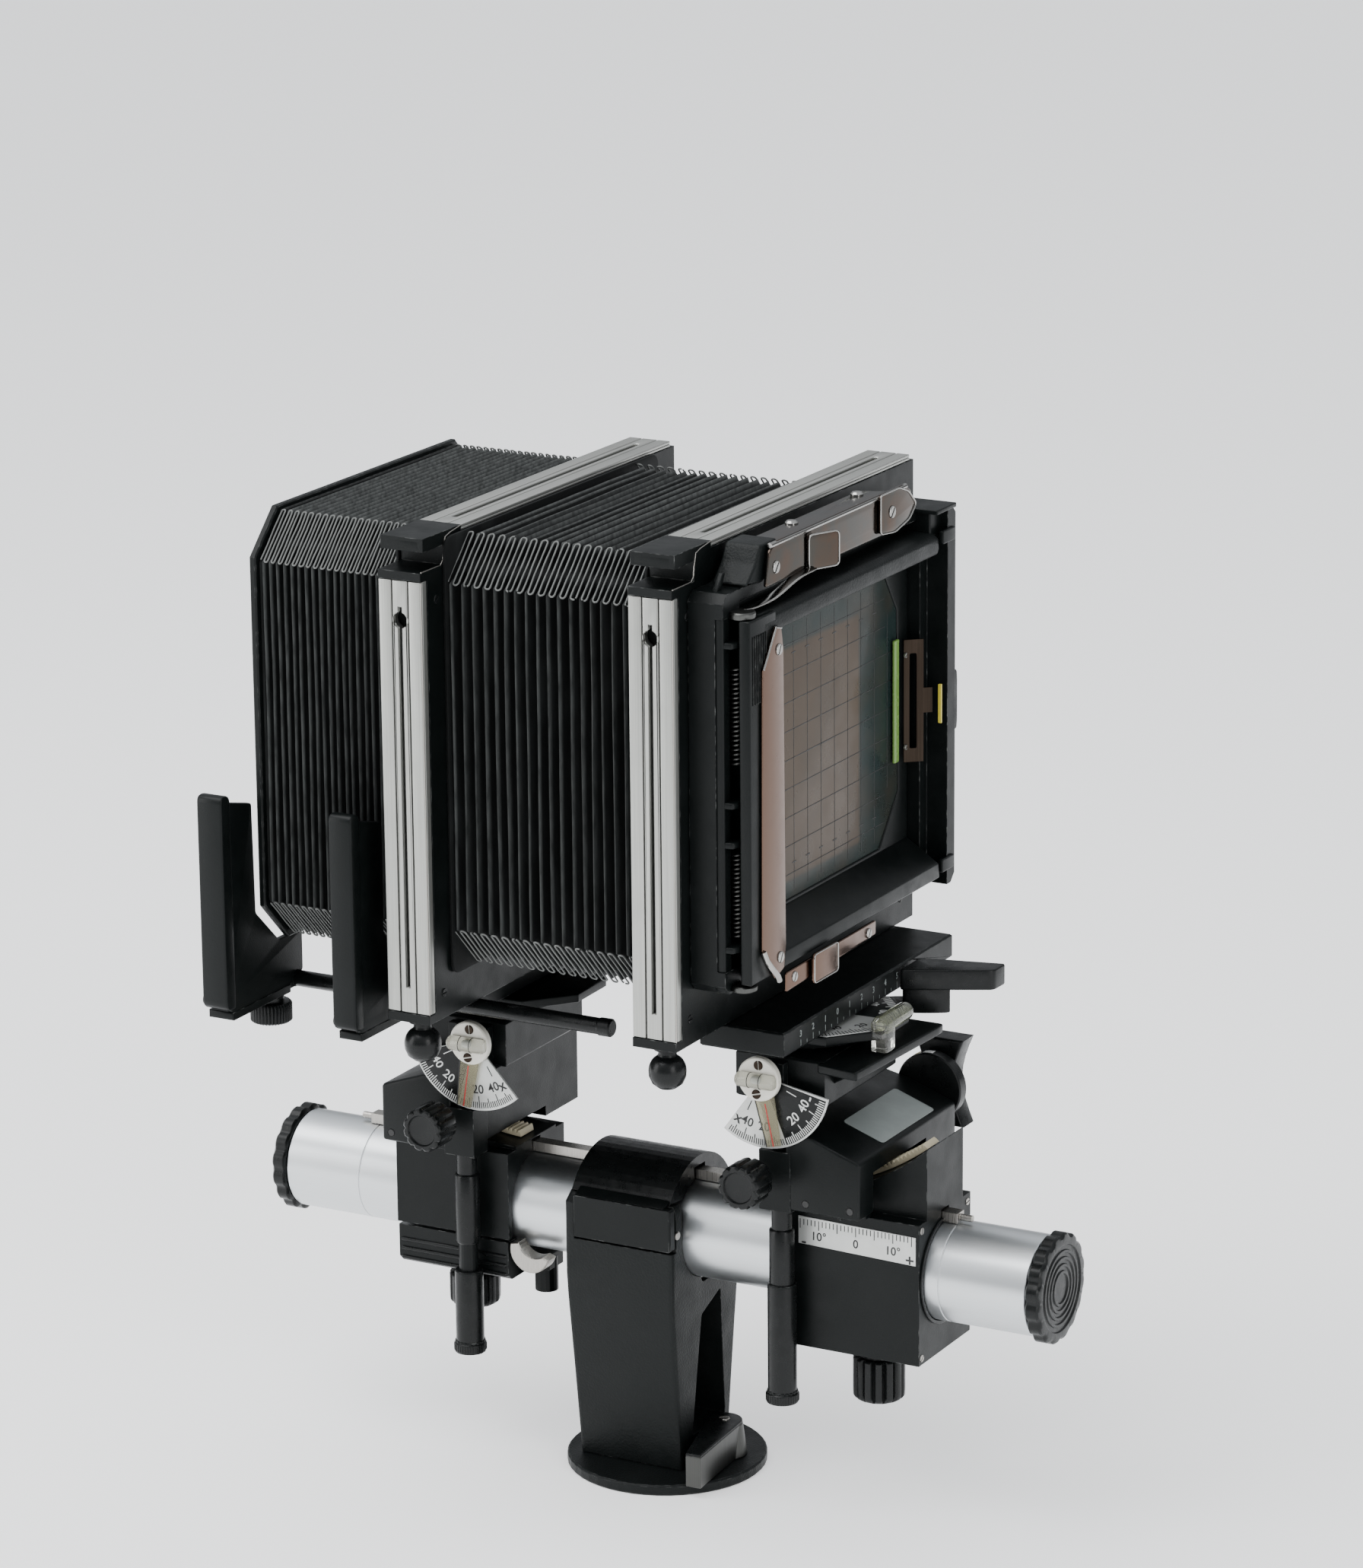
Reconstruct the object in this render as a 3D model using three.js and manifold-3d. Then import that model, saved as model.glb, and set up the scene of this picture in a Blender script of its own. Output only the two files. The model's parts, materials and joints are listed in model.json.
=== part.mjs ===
// Large format monorail view camera on its rail clamp, in millimetres.
// +X points from the lens end to the ground glass, -Y is the side with the rise knobs and +Z is up.
// The origin is the centre of the underside of the foot disc.
import * as THREE from 'three';
import { mergeVertices } from 'three/addons/utils/BufferGeometryUtils.js';
import Module from 'manifold-3d';

const wasm = await Module();
wasm.setup();

// ---- driving dimensions ----
const GAP = 0.3; // clearance between touching pieces
const FOOT = { radius: 35.6, thick: 4, threadX: 12, quarterInch: 3.2, threeEighths: 4.8 };
const TOWER = { topHalfX: 21.5, footHalfX: 20.5, topHalfY: 25, footHalfY: 17.5, offsetX: -5, top: 104 };
const RAIL = { z: 90.4, radius: 17.7, bore: 14, start: -146, end: 148, capRadius: 19.5, capThick: 5.5 };
const RACK = { width: 5, height: 3.6, start: -119, end: 115.5 };
const FRAME = { width: 176, height: 168.4, thick: 16.4, opening: 144, border: 13.5, chamfer: 13 };
const STRIP = {
  thick: 4, low: 3.5, high: 153.9, topMargin: 3, topThick: 2,
  slot: 2.2, slotOffset: 0.6, keyhole: 3.1, endMargin: 9.5,
};
const CORNER = { ledge: 2.9, recess: 15, capLow: 163.8, capInset: 2, capLength: 27 };
const BELLOWS = { halfY: 73, low: 196, high: 346.5, wall: 9, chamfer: 15 };
const LIGHT_PATH_Z = 271; // height of the line from the hood to the ground glass
const HOOD = { start: -115, plateThick: 2.6, plateMargin: 1.5, opening: 58 };
const CARRIAGE = { halfY: 20, top: 112, guideHalfY: 14, guideTop: 150 };
const ARC = { z: 210, inner: 93.7, rack: 94.2, guide: 97 }; // tilt arc around a level line across the camera
const TUBE = { radius: 4.3, bore: 3.7, rod: 3.4, sleeve: 5, y: -26, capRadius: 5.4, overlap: 6, top: 112.7 };
const FAN = { radius: 25.5, inner: 6, spread: 58, thick: 0.8, y: -32.2 };
// the plate on the lift rod that carries the base tilt pivot
const EAR = { y: -30.9, thick: 3.3, half: 5, rise: 5, clear: 2.5 };
const LEVEL = { radius: 7.8, y: -35.9, thick: 2.6, vialRadius: 2.6, vialLength: 14.5 };
const KNOB = { radius: 8, length: 13.5, lobes: 12, y: -36.6 };
const RIBBED = { radius: 9.2, lobes: 14 };
const BEARER = { bottom: 151, top: 167.5, halfY: 27 };
const TABLE = { thick: 2.6, radius: 39, top: 175.6, innerHalfY: 20 };
const SPINDLE = { offset: 12, radius: 12 };
const LEVER = { low: 167.8, thick: 4.8, blade: 46, bladeTop: 186 };
const BAR = { height: 8.6, end: 75, inner: -1.8, depth: 32 };
const BALL = { radius: 6.4, drop: 9.5, y: -80 };
const BACK = {
  halfY: 78, low: 204, high: 340, depth: 21, glassHalfY: 60, glassHalfZ: 48.5, glassZ: 271.2, lap: 1.5,
};
const SPRING = {
  y: -70.5, offset: 14, radius: 2.4, waist: 1.8, pitch: 4, upper: [281, 315], lower: [222, 252],
};
const THUMB_KNOB = { x: -123.2, y: -60, radius: 7.5, low: 163, high: 172 };
const ROD = { y: -50, z: 176.4, radius: 2.9, start: -121, end: 8 };
const BRACKET = {
  y: -95.5, arm: 3.6, low: 179, high: 253, reach: 50, web: 2.4, front: [-128.2, -118.2], rear: [-75.5, -66.5],
};

const REAR = {
  name: 'rear', dir: 1, x: 45.2, z: 185.4,
  blockIn: 58, blockOut: 109.5, blockLow: 61,
  tubeX: 60, tubeLow: 42, tubeJoin: 85.2, levelZ: 161, levelX: 56.1, fanLean: 22, knobX: 55.8, knobZ: 126.4,
  ribbedX: 84.3, ribbedLow: 38.8, ribbedHigh: 60.7, barStart: -53,
};
const FRONT = {
  name: 'front', dir: -1, x: -49.8, z: 181,
  blockIn: -52, blockOut: -98, blockLow: 80,
  tubeX: -65.2, tubeLow: 38.6, tubeJoin: 69, levelZ: 157, levelX: -57.7, fanLean: 15.5,
  knobX: -69, knobZ: 127.4,
  ribbedX: -78.3, ribbedLow: 46.3, ribbedHigh: 64.3, barStart: -44,
};

// ---- materials ----
const MATERIALS = {
  black: [0x262b2b, 0.45, 0.3],
  plastic: [0x161818, 0.5, 0],
  leather: [0x1b1d1d, 0.75, 0],
  satin: [0xb9b8b2, 0.4, 0.9],
  rail: [0xd5d9da, 0.28, 0.95],
  chrome: [0xc9b8a8, 0.12, 1],
  steel: [0x8d8a84, 0.35, 0.9],
  silver: [0xc4c5c0, 0.45, 0.6],
  clear: [0xd9d6c4, 0.15, 0],
  nylon: [0xd8d0b4, 0.55, 0],
  glass: [0x4a463a, 0.3, 0],
};
function material(name) {
  const [color, roughness, metalness] = MATERIALS[name];
  return new THREE.MeshStandardMaterial({ color, roughness, metalness });
}

const camera = new THREE.Group();
function add(name, geometry, finish) {
  const mesh = new THREE.Mesh(geometry, material(finish));
  mesh.name = name;
  camera.add(mesh);
  return mesh;
}

// ---- shape helpers ----
const ALONG_X = new THREE.Matrix4().makeBasis(
  new THREE.Vector3(0, 1, 0), new THREE.Vector3(0, 0, 1), new THREE.Vector3(1, 0, 0),
);
function outline(points) {
  return new THREE.Shape(points.map(([a, b]) => new THREE.Vector2(a, b)));
}
function withHoles(shape, ...holes) {
  shape.holes.push(...holes);
  return shape;
}
function extrude(shape, depth, bevel = 0) {
  const options = { depth: depth - 2 * bevel, bevelEnabled: bevel > 0, curveSegments: 10 };
  const edge = { bevelSize: bevel, bevelThickness: bevel, bevelOffset: -bevel, bevelSegments: 1 };
  if (bevel > 0) Object.assign(options, edge);
  return new THREE.ExtrudeGeometry(shape, options).translate(0, 0, bevel);
}
// a profile in Y and Z, from x0 to x1
function prismX(shape, x0, x1, bevel) {
  return extrude(shape, x1 - x0, bevel).applyMatrix4(ALONG_X).translate(x0, 0, 0);
}
// a profile in X and Z, from y0 to y1
function prismY(shape, y0, y1, bevel) {
  return extrude(shape, y1 - y0, bevel).rotateX(Math.PI / 2).translate(0, y1, 0);
}
// a profile in X and Y, from z0 to z1
function prismZ(shape, z0, z1, bevel) {
  return extrude(shape, z1 - z0, bevel).translate(0, 0, z0);
}

function circle(cx, cy, radius, sides = 32) {
  const ring = [];
  for (let i = 0; i < sides; i += 1) {
    const angle = (2 * Math.PI * i) / sides;
    ring.push([cx + radius * Math.cos(angle), cy + radius * Math.sin(angle)]);
  }
  return outline(ring);
}
function rectangle(a0, a1, b0, b1, cut = 0) {
  if (cut === 0) return outline([[a0, b0], [a1, b0], [a1, b1], [a0, b1]]);
  return outline([
    [a0 + cut, b0], [a1 - cut, b0], [a1, b0 + cut], [a1, b1 - cut],
    [a1 - cut, b1], [a0 + cut, b1], [a0, b1 - cut], [a0, b0 + cut],
  ]);
}
// a round knob outline with shallow finger hollows around it
function scalloped(cx, cy, radius, lobes, depth, steps = 4) {
  const ring = [];
  for (let i = 0; i < lobes * steps; i += 1) {
    const angle = (2 * Math.PI * i) / (lobes * steps);
    const r = radius - depth * (0.5 + 0.5 * Math.cos(lobes * angle)) ** 3;
    ring.push([cx + r * Math.cos(angle), cy + r * Math.sin(angle)]);
  }
  return outline(ring);
}
function arcPoints(cx, cz, radius, from, to, steps) {
  const points = [];
  for (let i = 0; i <= steps; i += 1) {
    const angle = THREE.MathUtils.degToRad(from + ((to - from) * i) / steps);
    points.push([cx + radius * Math.cos(angle), cz + radius * Math.sin(angle)]);
  }
  return points;
}
function box(xa, xb, y0, y1, z0, z1, bevel) {
  return prismZ(rectangle(Math.min(xa, xb), Math.max(xa, xb), y0, y1), z0, z1, bevel);
}

// ---- booleans ----
function solid(geometry) {
  const bare = geometry.clone();
  bare.deleteAttribute('normal');
  bare.deleteAttribute('uv');
  const merged = mergeVertices(bare, 1e-4);
  return new wasm.Manifold(new wasm.Mesh({
    numProp: 3,
    vertProperties: new Float32Array(merged.attributes.position.array),
    triVerts: new Uint32Array(merged.index.array),
  }));
}
function fromSolid(body) {
  const mesh = body.getMesh();
  const geometry = new THREE.BufferGeometry();
  geometry.setAttribute('position', new THREE.BufferAttribute(new Float32Array(mesh.vertProperties), 3));
  geometry.setIndex(new THREE.BufferAttribute(new Uint32Array(mesh.triVerts), 1));
  geometry.computeVertexNormals();
  return geometry;
}
const join = (...pieces) => fromSolid(pieces.map(solid).reduce((a, b) => a.add(b)));
const cut = (body, ...tools) => fromSolid(tools.map(solid).reduce((a, b) => a.subtract(b), solid(body)));

// a box whose foot and top have different half sizes
function taperedBlock(cx, halfX0, halfY0, z0, halfX1, halfY1, z1) {
  const block = new THREE.BoxGeometry(2, 2, 2);
  const position = block.attributes.position;
  for (let i = 0; i < position.count; i += 1) {
    const top = position.getZ(i) > 0;
    position.setXYZ(
      i,
      cx + position.getX(i) * (top ? halfX1 : halfX0),
      position.getY(i) * (top ? halfY1 : halfY0),
      top ? z1 : z0,
    );
  }
  return block;
}

// ---- foot, tower and rail clamp ----
function buildBase() {
  const { threadX, quarterInch, threeEighths } = FOOT;
  const threads = [circle(-threadX, 0, quarterInch, 16), circle(threadX, 0, threeEighths, 20)];
  add('foot_disc', prismZ(withHoles(circle(0, 0, FOOT.radius, 48), ...threads), 0, FOOT.thick, 0.6), 'black');

  const { offsetX: cx, topHalfX, footHalfX, topHalfY, footHalfY, top } = TOWER;
  const body = taperedBlock(cx, footHalfX, footHalfY, FOOT.thick + GAP, topHalfX, topHalfY, top);
  const seat = prismX(circle(0, RAIL.z, RAIL.radius + GAP, 40), -60, 60);
  const mouth = box(-60, 60, -RAIL.radius - GAP, RAIL.radius + GAP, RAIL.z, top + 1);
  const face = cx + topHalfX;
  const pocket = prismX(outline([[-7, 58], [5, 66], [9, 20], [-4, 20]]), face - 9, face + 5);
  const latchStart = cx - topHalfX + 4;
  const latchSeat = box(latchStart, face + 1, -topHalfY - 2, -topHalfY + 2.6, RAIL.z - 3, top + 1);
  add('clamp_tower', cut(body, seat, mouth, pocket, latchSeat), 'black');

  const jawLow = top + GAP;
  const jawRadius = 26;
  const half = [...arcPoints(0, RAIL.z, jawRadius, 32.5, 147.5, 18), [-22, jawLow], [-17.8, jawLow]];
  const inside = arcPoints(0, RAIL.z, RAIL.radius + GAP, 131, 49, 12);
  const jaw = prismX(outline([...half, ...inside, [17.8, jawLow]]), cx - 20, cx + 19);
  add('clamp_jaw', cut(jaw, box(-60, 60, -4, 4, RAIL.z, RAIL.z + RAIL.radius + RACK.height + 1)), 'black');

  const latch = rectangle(-topHalfY - 1.6, -topHalfY + 2.2, RAIL.z - 1.6, top);
  add('jaw_latch', prismX(latch, latchStart + GAP, face, 0.5), 'black');

  const lever = outline([[17.5, -25], [27, -30], [31, -22.5], [24.5, -15], [23, 8], [18, 10]]);
  add('foot_lever', prismZ(lever, FOOT.thick + GAP, 17, 0.8), 'black');
}

// ---- rail ----
function buildRail() {
  const section = withHoles(circle(0, RAIL.z, RAIL.radius, 40), circle(0, RAIL.z, RAIL.bore, 24));
  add('rail_tube', prismX(section, RAIL.start, RAIL.end), 'rail');
  const rackLow = RAIL.z + RAIL.radius + 0.1;
  const rack = join(
    box(RACK.start, RACK.end, -RACK.width / 2, RACK.width / 2, rackLow, rackLow + RACK.height),
    prismX(circle(0, rackLow + 1.8, 1.2, 12), RACK.start - 4.5, RACK.start + 2),
    prismX(circle(0, rackLow + 1.8, 1.2, 12), RACK.end - 2, RACK.end + 4.5),
  );
  add('rail_rack', rack, 'steel');
  for (const [name, x, dir] of [['rail_front_cap', RAIL.start, -1], ['rail_rear_cap', RAIL.end, 1]]) {
    const ends = [x + dir * GAP, x + dir * (GAP + RAIL.capThick)];
    const ribbed = scalloped(0, RAIL.z, RAIL.capRadius, 16, 1);
    add(name, prismX(ribbed, Math.min(...ends), Math.max(...ends), 0.7), 'plastic');
  }
}

// ---- one standard: everything between the rail and its frame ----
function buildCarriage(s) {
  const cx = s.x;
  const cz = ARC.z;
  const [x0, x1] = [Math.min(s.blockIn, s.blockOut), Math.max(s.blockIn, s.blockOut)];
  const profile = outline([
    [-CARRIAGE.halfY, s.blockLow], [CARRIAGE.halfY, s.blockLow], [CARRIAGE.halfY, CARRIAGE.top],
    [CARRIAGE.guideHalfY, CARRIAGE.top], [CARRIAGE.guideHalfY, CARRIAGE.guideTop],
    [-CARRIAGE.guideHalfY, CARRIAGE.guideTop],
    [-CARRIAGE.guideHalfY, CARRIAGE.top], [-CARRIAGE.halfY, CARRIAGE.top],
  ]);
  const bore = prismX(circle(0, RAIL.z, RAIL.radius + GAP, 40), x0 - 5, x1 + 5);
  const slotHalf = RACK.width / 2 + 0.5;
  const rackTop = RAIL.z + RAIL.radius + RACK.height + 0.8;
  const rackSlot = box(x0 - 5, x1 + 5, -slotHalf, slotHalf, RAIL.z, rackTop);
  const above = prismY(circle(cx, cz, ARC.guide, 90), -40, 40);
  const below = box(x0 - 5, x1 + 5, -RAIL.radius - GAP, RAIL.radius + GAP, s.blockLow - 1, RAIL.z);
  const tools = [bore, rackSlot, above];
  // a block that stops beside the rail is open below it, and its clamp jaw closes it
  if (s.blockLow > RAIL.z - RAIL.radius) tools.push(below);
  add(`${s.name}_carriage`, cut(prismX(profile, x0, x1), ...tools), 'black');

  const reach = (Math.abs(s.blockOut - cx) / ARC.guide) * (180 / Math.PI) - 1;
  const start = (Math.abs(s.blockIn - cx) / ARC.guide) * (180 / Math.PI) + 2;
  const [a0, a1] = [-90 + s.dir * start, -90 + s.dir * reach * 1.04];
  const outer = arcPoints(cx, cz, ARC.guide - GAP, a0, a1, 22);
  const strip = outline([...outer, ...arcPoints(cx, cz, ARC.rack, a1, a0, 22)]);
  add(`${s.name}_tilt_rack`, prismY(strip, -5, 4), 'nylon');

  const ribbed = scalloped(s.ribbedX, 0, RIBBED.radius, RIBBED.lobes, 1.3);
  const knob = prismZ(ribbed, s.ribbedLow, s.ribbedHigh - 4, 0.6);
  const stem = prismZ(circle(s.ribbedX, 0, 6.5, 20), s.ribbedHigh - 5, s.ribbedHigh - GAP);
  add(`${s.name}_focus_knob`, join(knob, stem), 'plastic');
}

function buildCradle(s) {
  const cx = s.x;
  const cz = ARC.z;
  const u = (offset) => cx + s.dir * offset;
  const side = outline([[u(10), 113], [u(46.5), 113], [u(46.5), 132], [u(26), 138.5], [u(10), 141]]);
  const shell = prismY(side, -25, 44);
  const track = arcPoints(cx, cz, ARC.inner, -90 - 50, -90 + 50, 40);
  const below = outline([...track, [cx + 90, cz - 130], [cx - 90, cz - 130]]);
  const channel = prismY(below, -CARRIAGE.halfY - 0.6, CARRIAGE.halfY + 0.6);
  const bossTop = s.levelZ - FAN.radius - 1;
  const boss = box(s.tubeX - 6, s.tubeX + 6, FAN.y + FAN.thick + GAP, -21.5, 113, bossTop, 0);
  const bore = prismZ(circle(s.tubeX, TUBE.y, TUBE.bore, 20), 60, 170);
  add(`${s.name}_tilt_housing`, cut(join(shell, boss), channel, bore), 'black');

  const drum = prismY(circle(u(36), 138, 12.5, 32), 44.3, 52);
  const wing = prismY(rectangle(u(36) - 2.4, u(36) + 2.4, 122, 154, 1), 51, 62);
  add(`${s.name}_tilt_knob`, join(drum, wing), 'plastic');

  const ribbed = scalloped(s.knobX, s.knobZ, KNOB.radius, KNOB.lobes, 1);
  const knob = prismY(ribbed, KNOB.y - KNOB.length, KNOB.y, 0.7);
  add(`${s.name}_rise_knob`, knob, 'plastic');

  const outer = prismZ(circle(s.tubeX, TUBE.y, TUBE.radius, 24), s.tubeJoin - TUBE.overlap, TUBE.top);
  add(`${s.name}_lift_tube`, cut(outer, prismZ(circle(s.tubeX, TUBE.y, TUBE.bore, 20), 20, 130)), 'black');
}

function buildLift(s) {
  const drop = s.levelZ - REAR.levelZ;
  const ear = [
    Math.min(s.tubeX - TUBE.rod, s.levelX - EAR.half),
    Math.max(s.tubeX + TUBE.rod, s.levelX + EAR.half),
    EAR.y, EAR.y + EAR.thick, s.levelZ - FAN.radius + EAR.rise, s.levelZ + EAR.half,
  ];
  const inside = circle(s.tubeX, TUBE.y, TUBE.radius + GAP, 24);
  const sleeve = withHoles(circle(s.tubeX, TUBE.y, TUBE.sleeve, 24), inside);
  const rod = join(
    prismZ(circle(s.tubeX, TUBE.y, TUBE.rod, 20), s.tubeLow + 4, BEARER.bottom + drop - EAR.clear),
    prismZ(sleeve, s.tubeLow + 4, s.tubeJoin),
    prismZ(scalloped(s.tubeX, TUBE.y, TUBE.capRadius, 20, 0.4), s.tubeLow, s.tubeLow + 4.2),
    box(...ear),
  );
  add(`${s.name}_lift_rod`, rod, 'black');

  const lean = -90 + s.dir * s.fanLean;
  const arc = arcPoints(s.levelX, s.levelZ, FAN.radius, lean - FAN.spread, lean + FAN.spread, 22);
  const inner = arcPoints(s.levelX, s.levelZ, FAN.inner, lean + FAN.spread, lean - FAN.spread, 6);
  const fan = prismY(outline([...arc, ...inner]), FAN.y, FAN.y + FAN.thick);
  add(`${s.name}_fan_scale`, fan, 'silver');
}

function buildBearer(s) {
  const u = (offset) => s.x + s.dir * offset;
  const drop = s.levelZ - REAR.levelZ;
  const beam = box(u(-2), u(32), -BEARER.halfY, BEARER.halfY, BEARER.bottom + drop, BEARER.top + drop, 0.8);
  add(`${s.name}_bearer`, beam, 'black');

  const disc = prismY(circle(s.levelX, s.levelZ, LEVEL.radius, 32), LEVEL.y, LEVEL.y + LEVEL.thick);
  const vialEnds = [s.levelX - LEVEL.vialLength / 2, s.levelX + LEVEL.vialLength / 2];
  const vial = prismX(circle(LEVEL.y - 1.4, s.levelZ + 0.3, LEVEL.vialRadius, 16), ...vialEnds);
  const lean = THREE.MathUtils.degToRad(-90 + s.dir * s.fanLean);
  const [tx, tz] = [Math.cos(lean), Math.sin(lean)];
  const at = (along, side) => [s.levelX + along * tx - side * tz, s.levelZ + along * tz + side * tx];
  const hand = outline([at(2, -5), at(24.5, -1.8), at(24.5, 1.8), at(2, 5)]);
  const pointer = prismY(hand, LEVEL.y + LEVEL.thick - 0.5, FAN.y - GAP);
  add(`${s.name}_level`, join(disc, vial, pointer), 'clear');
}

function buildTable(s) {
  const drop = s.levelZ - REAR.levelZ;
  const [cx, top] = [s.x + s.dir * SPINDLE.offset, TABLE.top + drop];
  const fan = [];
  for (const [x, y] of arcPoints(cx, 0, TABLE.radius, -75, 75, 16)) fan.push([cx + s.dir * (x - cx), y]);
  const sheet = outline([...fan, [s.x, TABLE.innerHalfY], [s.x, -TABLE.innerHalfY]]);
  const plate = prismZ(sheet, top - TABLE.thick, top);
  const spindle = prismZ(circle(cx, 0, SPINDLE.radius, 32), BEARER.top + drop + GAP, top - 1);
  add(`${s.name}_swing_table`, join(plate, spindle), 'black');
}

// ---- frames with their bright edge strips ----
function frameOutline(s) {
  const half = FRAME.width / 2;
  const left = -half + STRIP.thick + GAP;
  const { high, low } = STRIP;
  return outline([
    [-half, s.z], [half, s.z], [half, s.z + FRAME.height],
    [-half + CORNER.capLength - GAP, s.z + FRAME.height], [-half + CORNER.capInset, s.z + FRAME.height],
    [-half + CORNER.capInset, s.z + CORNER.capLow],
    [-half + CORNER.recess, s.z + CORNER.capLow], [-half + CORNER.recess, s.z + high + CORNER.ledge + GAP],
    [-half, s.z + high + CORNER.ledge + GAP], [-half, s.z + high + GAP], [left, s.z + high + GAP],
    [left, s.z + low - GAP], [-half, s.z + low - GAP],
  ]);
}
// a long slot of X = across, with a round keyhole at its far end
function keyedSlot(across, from, to) {
  const path = new THREE.Path();
  const half = STRIP.slot / 2;
  const neck = Math.sqrt(STRIP.keyhole ** 2 - half ** 2);
  const angle = Math.atan2(half, neck);
  const points = [[from, across - half], [to - neck, across - half]];
  for (let i = 0; i <= 10; i += 1) {
    const turn = Math.PI + angle + ((2 * Math.PI - 2 * angle) * i) / 10;
    points.push([to + STRIP.keyhole * Math.cos(turn), across + STRIP.keyhole * Math.sin(turn)]);
  }
  points.push([to - neck, across + half], [from, across + half]);
  path.setFromPoints(points.map(([along, x]) => new THREE.Vector2(x, along)));
  return path;
}
function buildFrame(s) {
  const half = FRAME.width / 2;
  const [x0, x1] = [s.x - FRAME.thick / 2, s.x + FRAME.thick / 2];
  const top = s.z + FRAME.height;
  const { border, chamfer } = FRAME;
  const opening = rectangle(-FRAME.opening / 2, FRAME.opening / 2, s.z + border, top - border, chamfer);
  const body = prismX(withHoles(frameOutline(s), opening), x0, x1);
  const seatLow = top - STRIP.topThick - GAP;
  const topSeat = box(x0 - 1, x1 + 1, -half + CORNER.capLength, half + 1, seatLow, top + 1);
  const groove = box(x0 + 5, x1 - 5, -half - 1, -half + CORNER.recess - 3, s.z + CORNER.capLow + 2, top - 2);
  add(`${s.name}_frame`, cut(body, topSeat, groove), 'black');

  const slotX = s.x + STRIP.slotOffset;
  const side = withHoles(
    rectangle(x0, x1, s.z + STRIP.low, s.z + STRIP.high),
    keyedSlot(slotX, s.z + STRIP.low + STRIP.endMargin, s.z + STRIP.high - STRIP.endMargin - 4),
  );
  add(`${s.name}_side_strip`, prismY(side, -half, -half + STRIP.thick, 0.4), 'satin');

  const topStart = -half + CORNER.capLength;
  const topEnd = half - STRIP.topMargin;
  const topShape = withHoles(
    rectangle(x0, x1, topStart, topEnd),
    keyedSlot(slotX, topStart + STRIP.endMargin, topEnd - STRIP.endMargin - 4),
  );
  add(`${s.name}_top_strip`, prismZ(topShape, top - STRIP.topThick, top, 0.3), 'satin');

  const knobX = s.x + 0.5;
  const ball = new THREE.SphereGeometry(BALL.radius, 18, 12).rotateX(Math.PI / 2);
  ball.translate(knobX, BALL.y, s.z - BALL.drop);
  const neck = rectangle(knobX - 4.4, knobX + 4.4, BALL.y - 4, BALL.y + 3, 1.4);
  const stem = prismZ(neck, s.z - BALL.drop, s.z - GAP);
  add(`${s.name}_ball_knob`, join(ball, stem), 'plastic');

  const [b0, b1] = [BAR.inner, BAR.inner + BAR.depth].map((offset) => s.x + s.dir * offset);
  const barTop = s.z - GAP;
  add(`${s.name}_shift_bar`, box(b0, b1, s.barStart, BAR.end, barTop - BAR.height, barTop, 0.6), 'black');
}

// ---- bellows, hood and its holder ----
function bellowsTube(x0, x1, grow = 0) {
  const { halfY, low, high, wall, chamfer } = BELLOWS;
  const shape = rectangle(-halfY - grow, halfY + grow, low - grow, high + grow, chamfer);
  shape.holes = [rectangle(-halfY + wall, halfY - wall, low + wall, high - wall, chamfer - wall / 2)];
  return prismX(shape, x0, x1);
}
function buildBellows() {
  const front = FRONT.x + FRAME.thick / 2 + GAP;
  const rear = REAR.x - FRAME.thick / 2 - GAP;
  add('main_bellows', bellowsTube(front, rear), 'leather');
  add('hood_bellows', bellowsTube(HOOD.start + GAP, FRONT.x - FRAME.thick / 2 - GAP), 'leather');

  const { halfY, low, high, chamfer } = BELLOWS;
  const m = HOOD.plateMargin;
  const plate = rectangle(-halfY - m, halfY + m, low - m, high + m, chamfer);
  const mouth = HOOD.opening;
  plate.holes = [rectangle(-mouth, mouth, LIGHT_PATH_Z - mouth, LIGHT_PATH_Z + mouth, 6)];
  add('hood_front_plate', prismX(plate, HOOD.start - HOOD.plateThick, HOOD.start, 0.5), 'black');

  add('hood_rod', prismX(circle(ROD.y, ROD.z, ROD.radius, 16), ROD.start, ROD.end), 'black');
  const { y, arm, low: z0, high: z1, reach, web } = BRACKET;
  const ends = [['hood_front_bracket', ...BRACKET.front], ['hood_rear_bracket', ...BRACKET.rear]];
  for (const [name, x0, x1] of ends) {
    const rim = box(x0, x1, y, y + arm, z0, z1, 0.5);
    const foot = box(x0, x1, y, y + reach, 172.4, 180.2, 0.5);
    const gusset = outline([[y + 1, z0], [y + 30, z0], [y + 12, z0 + 22], [y + 9, z1 - 3], [y + 1, z1 - 1]]);
    const bracket = join(rim, foot, prismX(gusset, x0 + 1, x0 + 1 + web));
    add(name, cut(bracket, prismX(circle(ROD.y, ROD.z, ROD.radius + GAP, 20), x0 - 5, x1 + 5)), 'black');
  }
  const { x, y: knobY, radius, low: knobLow, high: knobHigh } = THUMB_KNOB;
  add('hood_thumb_knob', prismZ(scalloped(x, knobY, radius, 18, 0.6), knobLow, knobHigh, 0.6), 'plastic');
}

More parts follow.
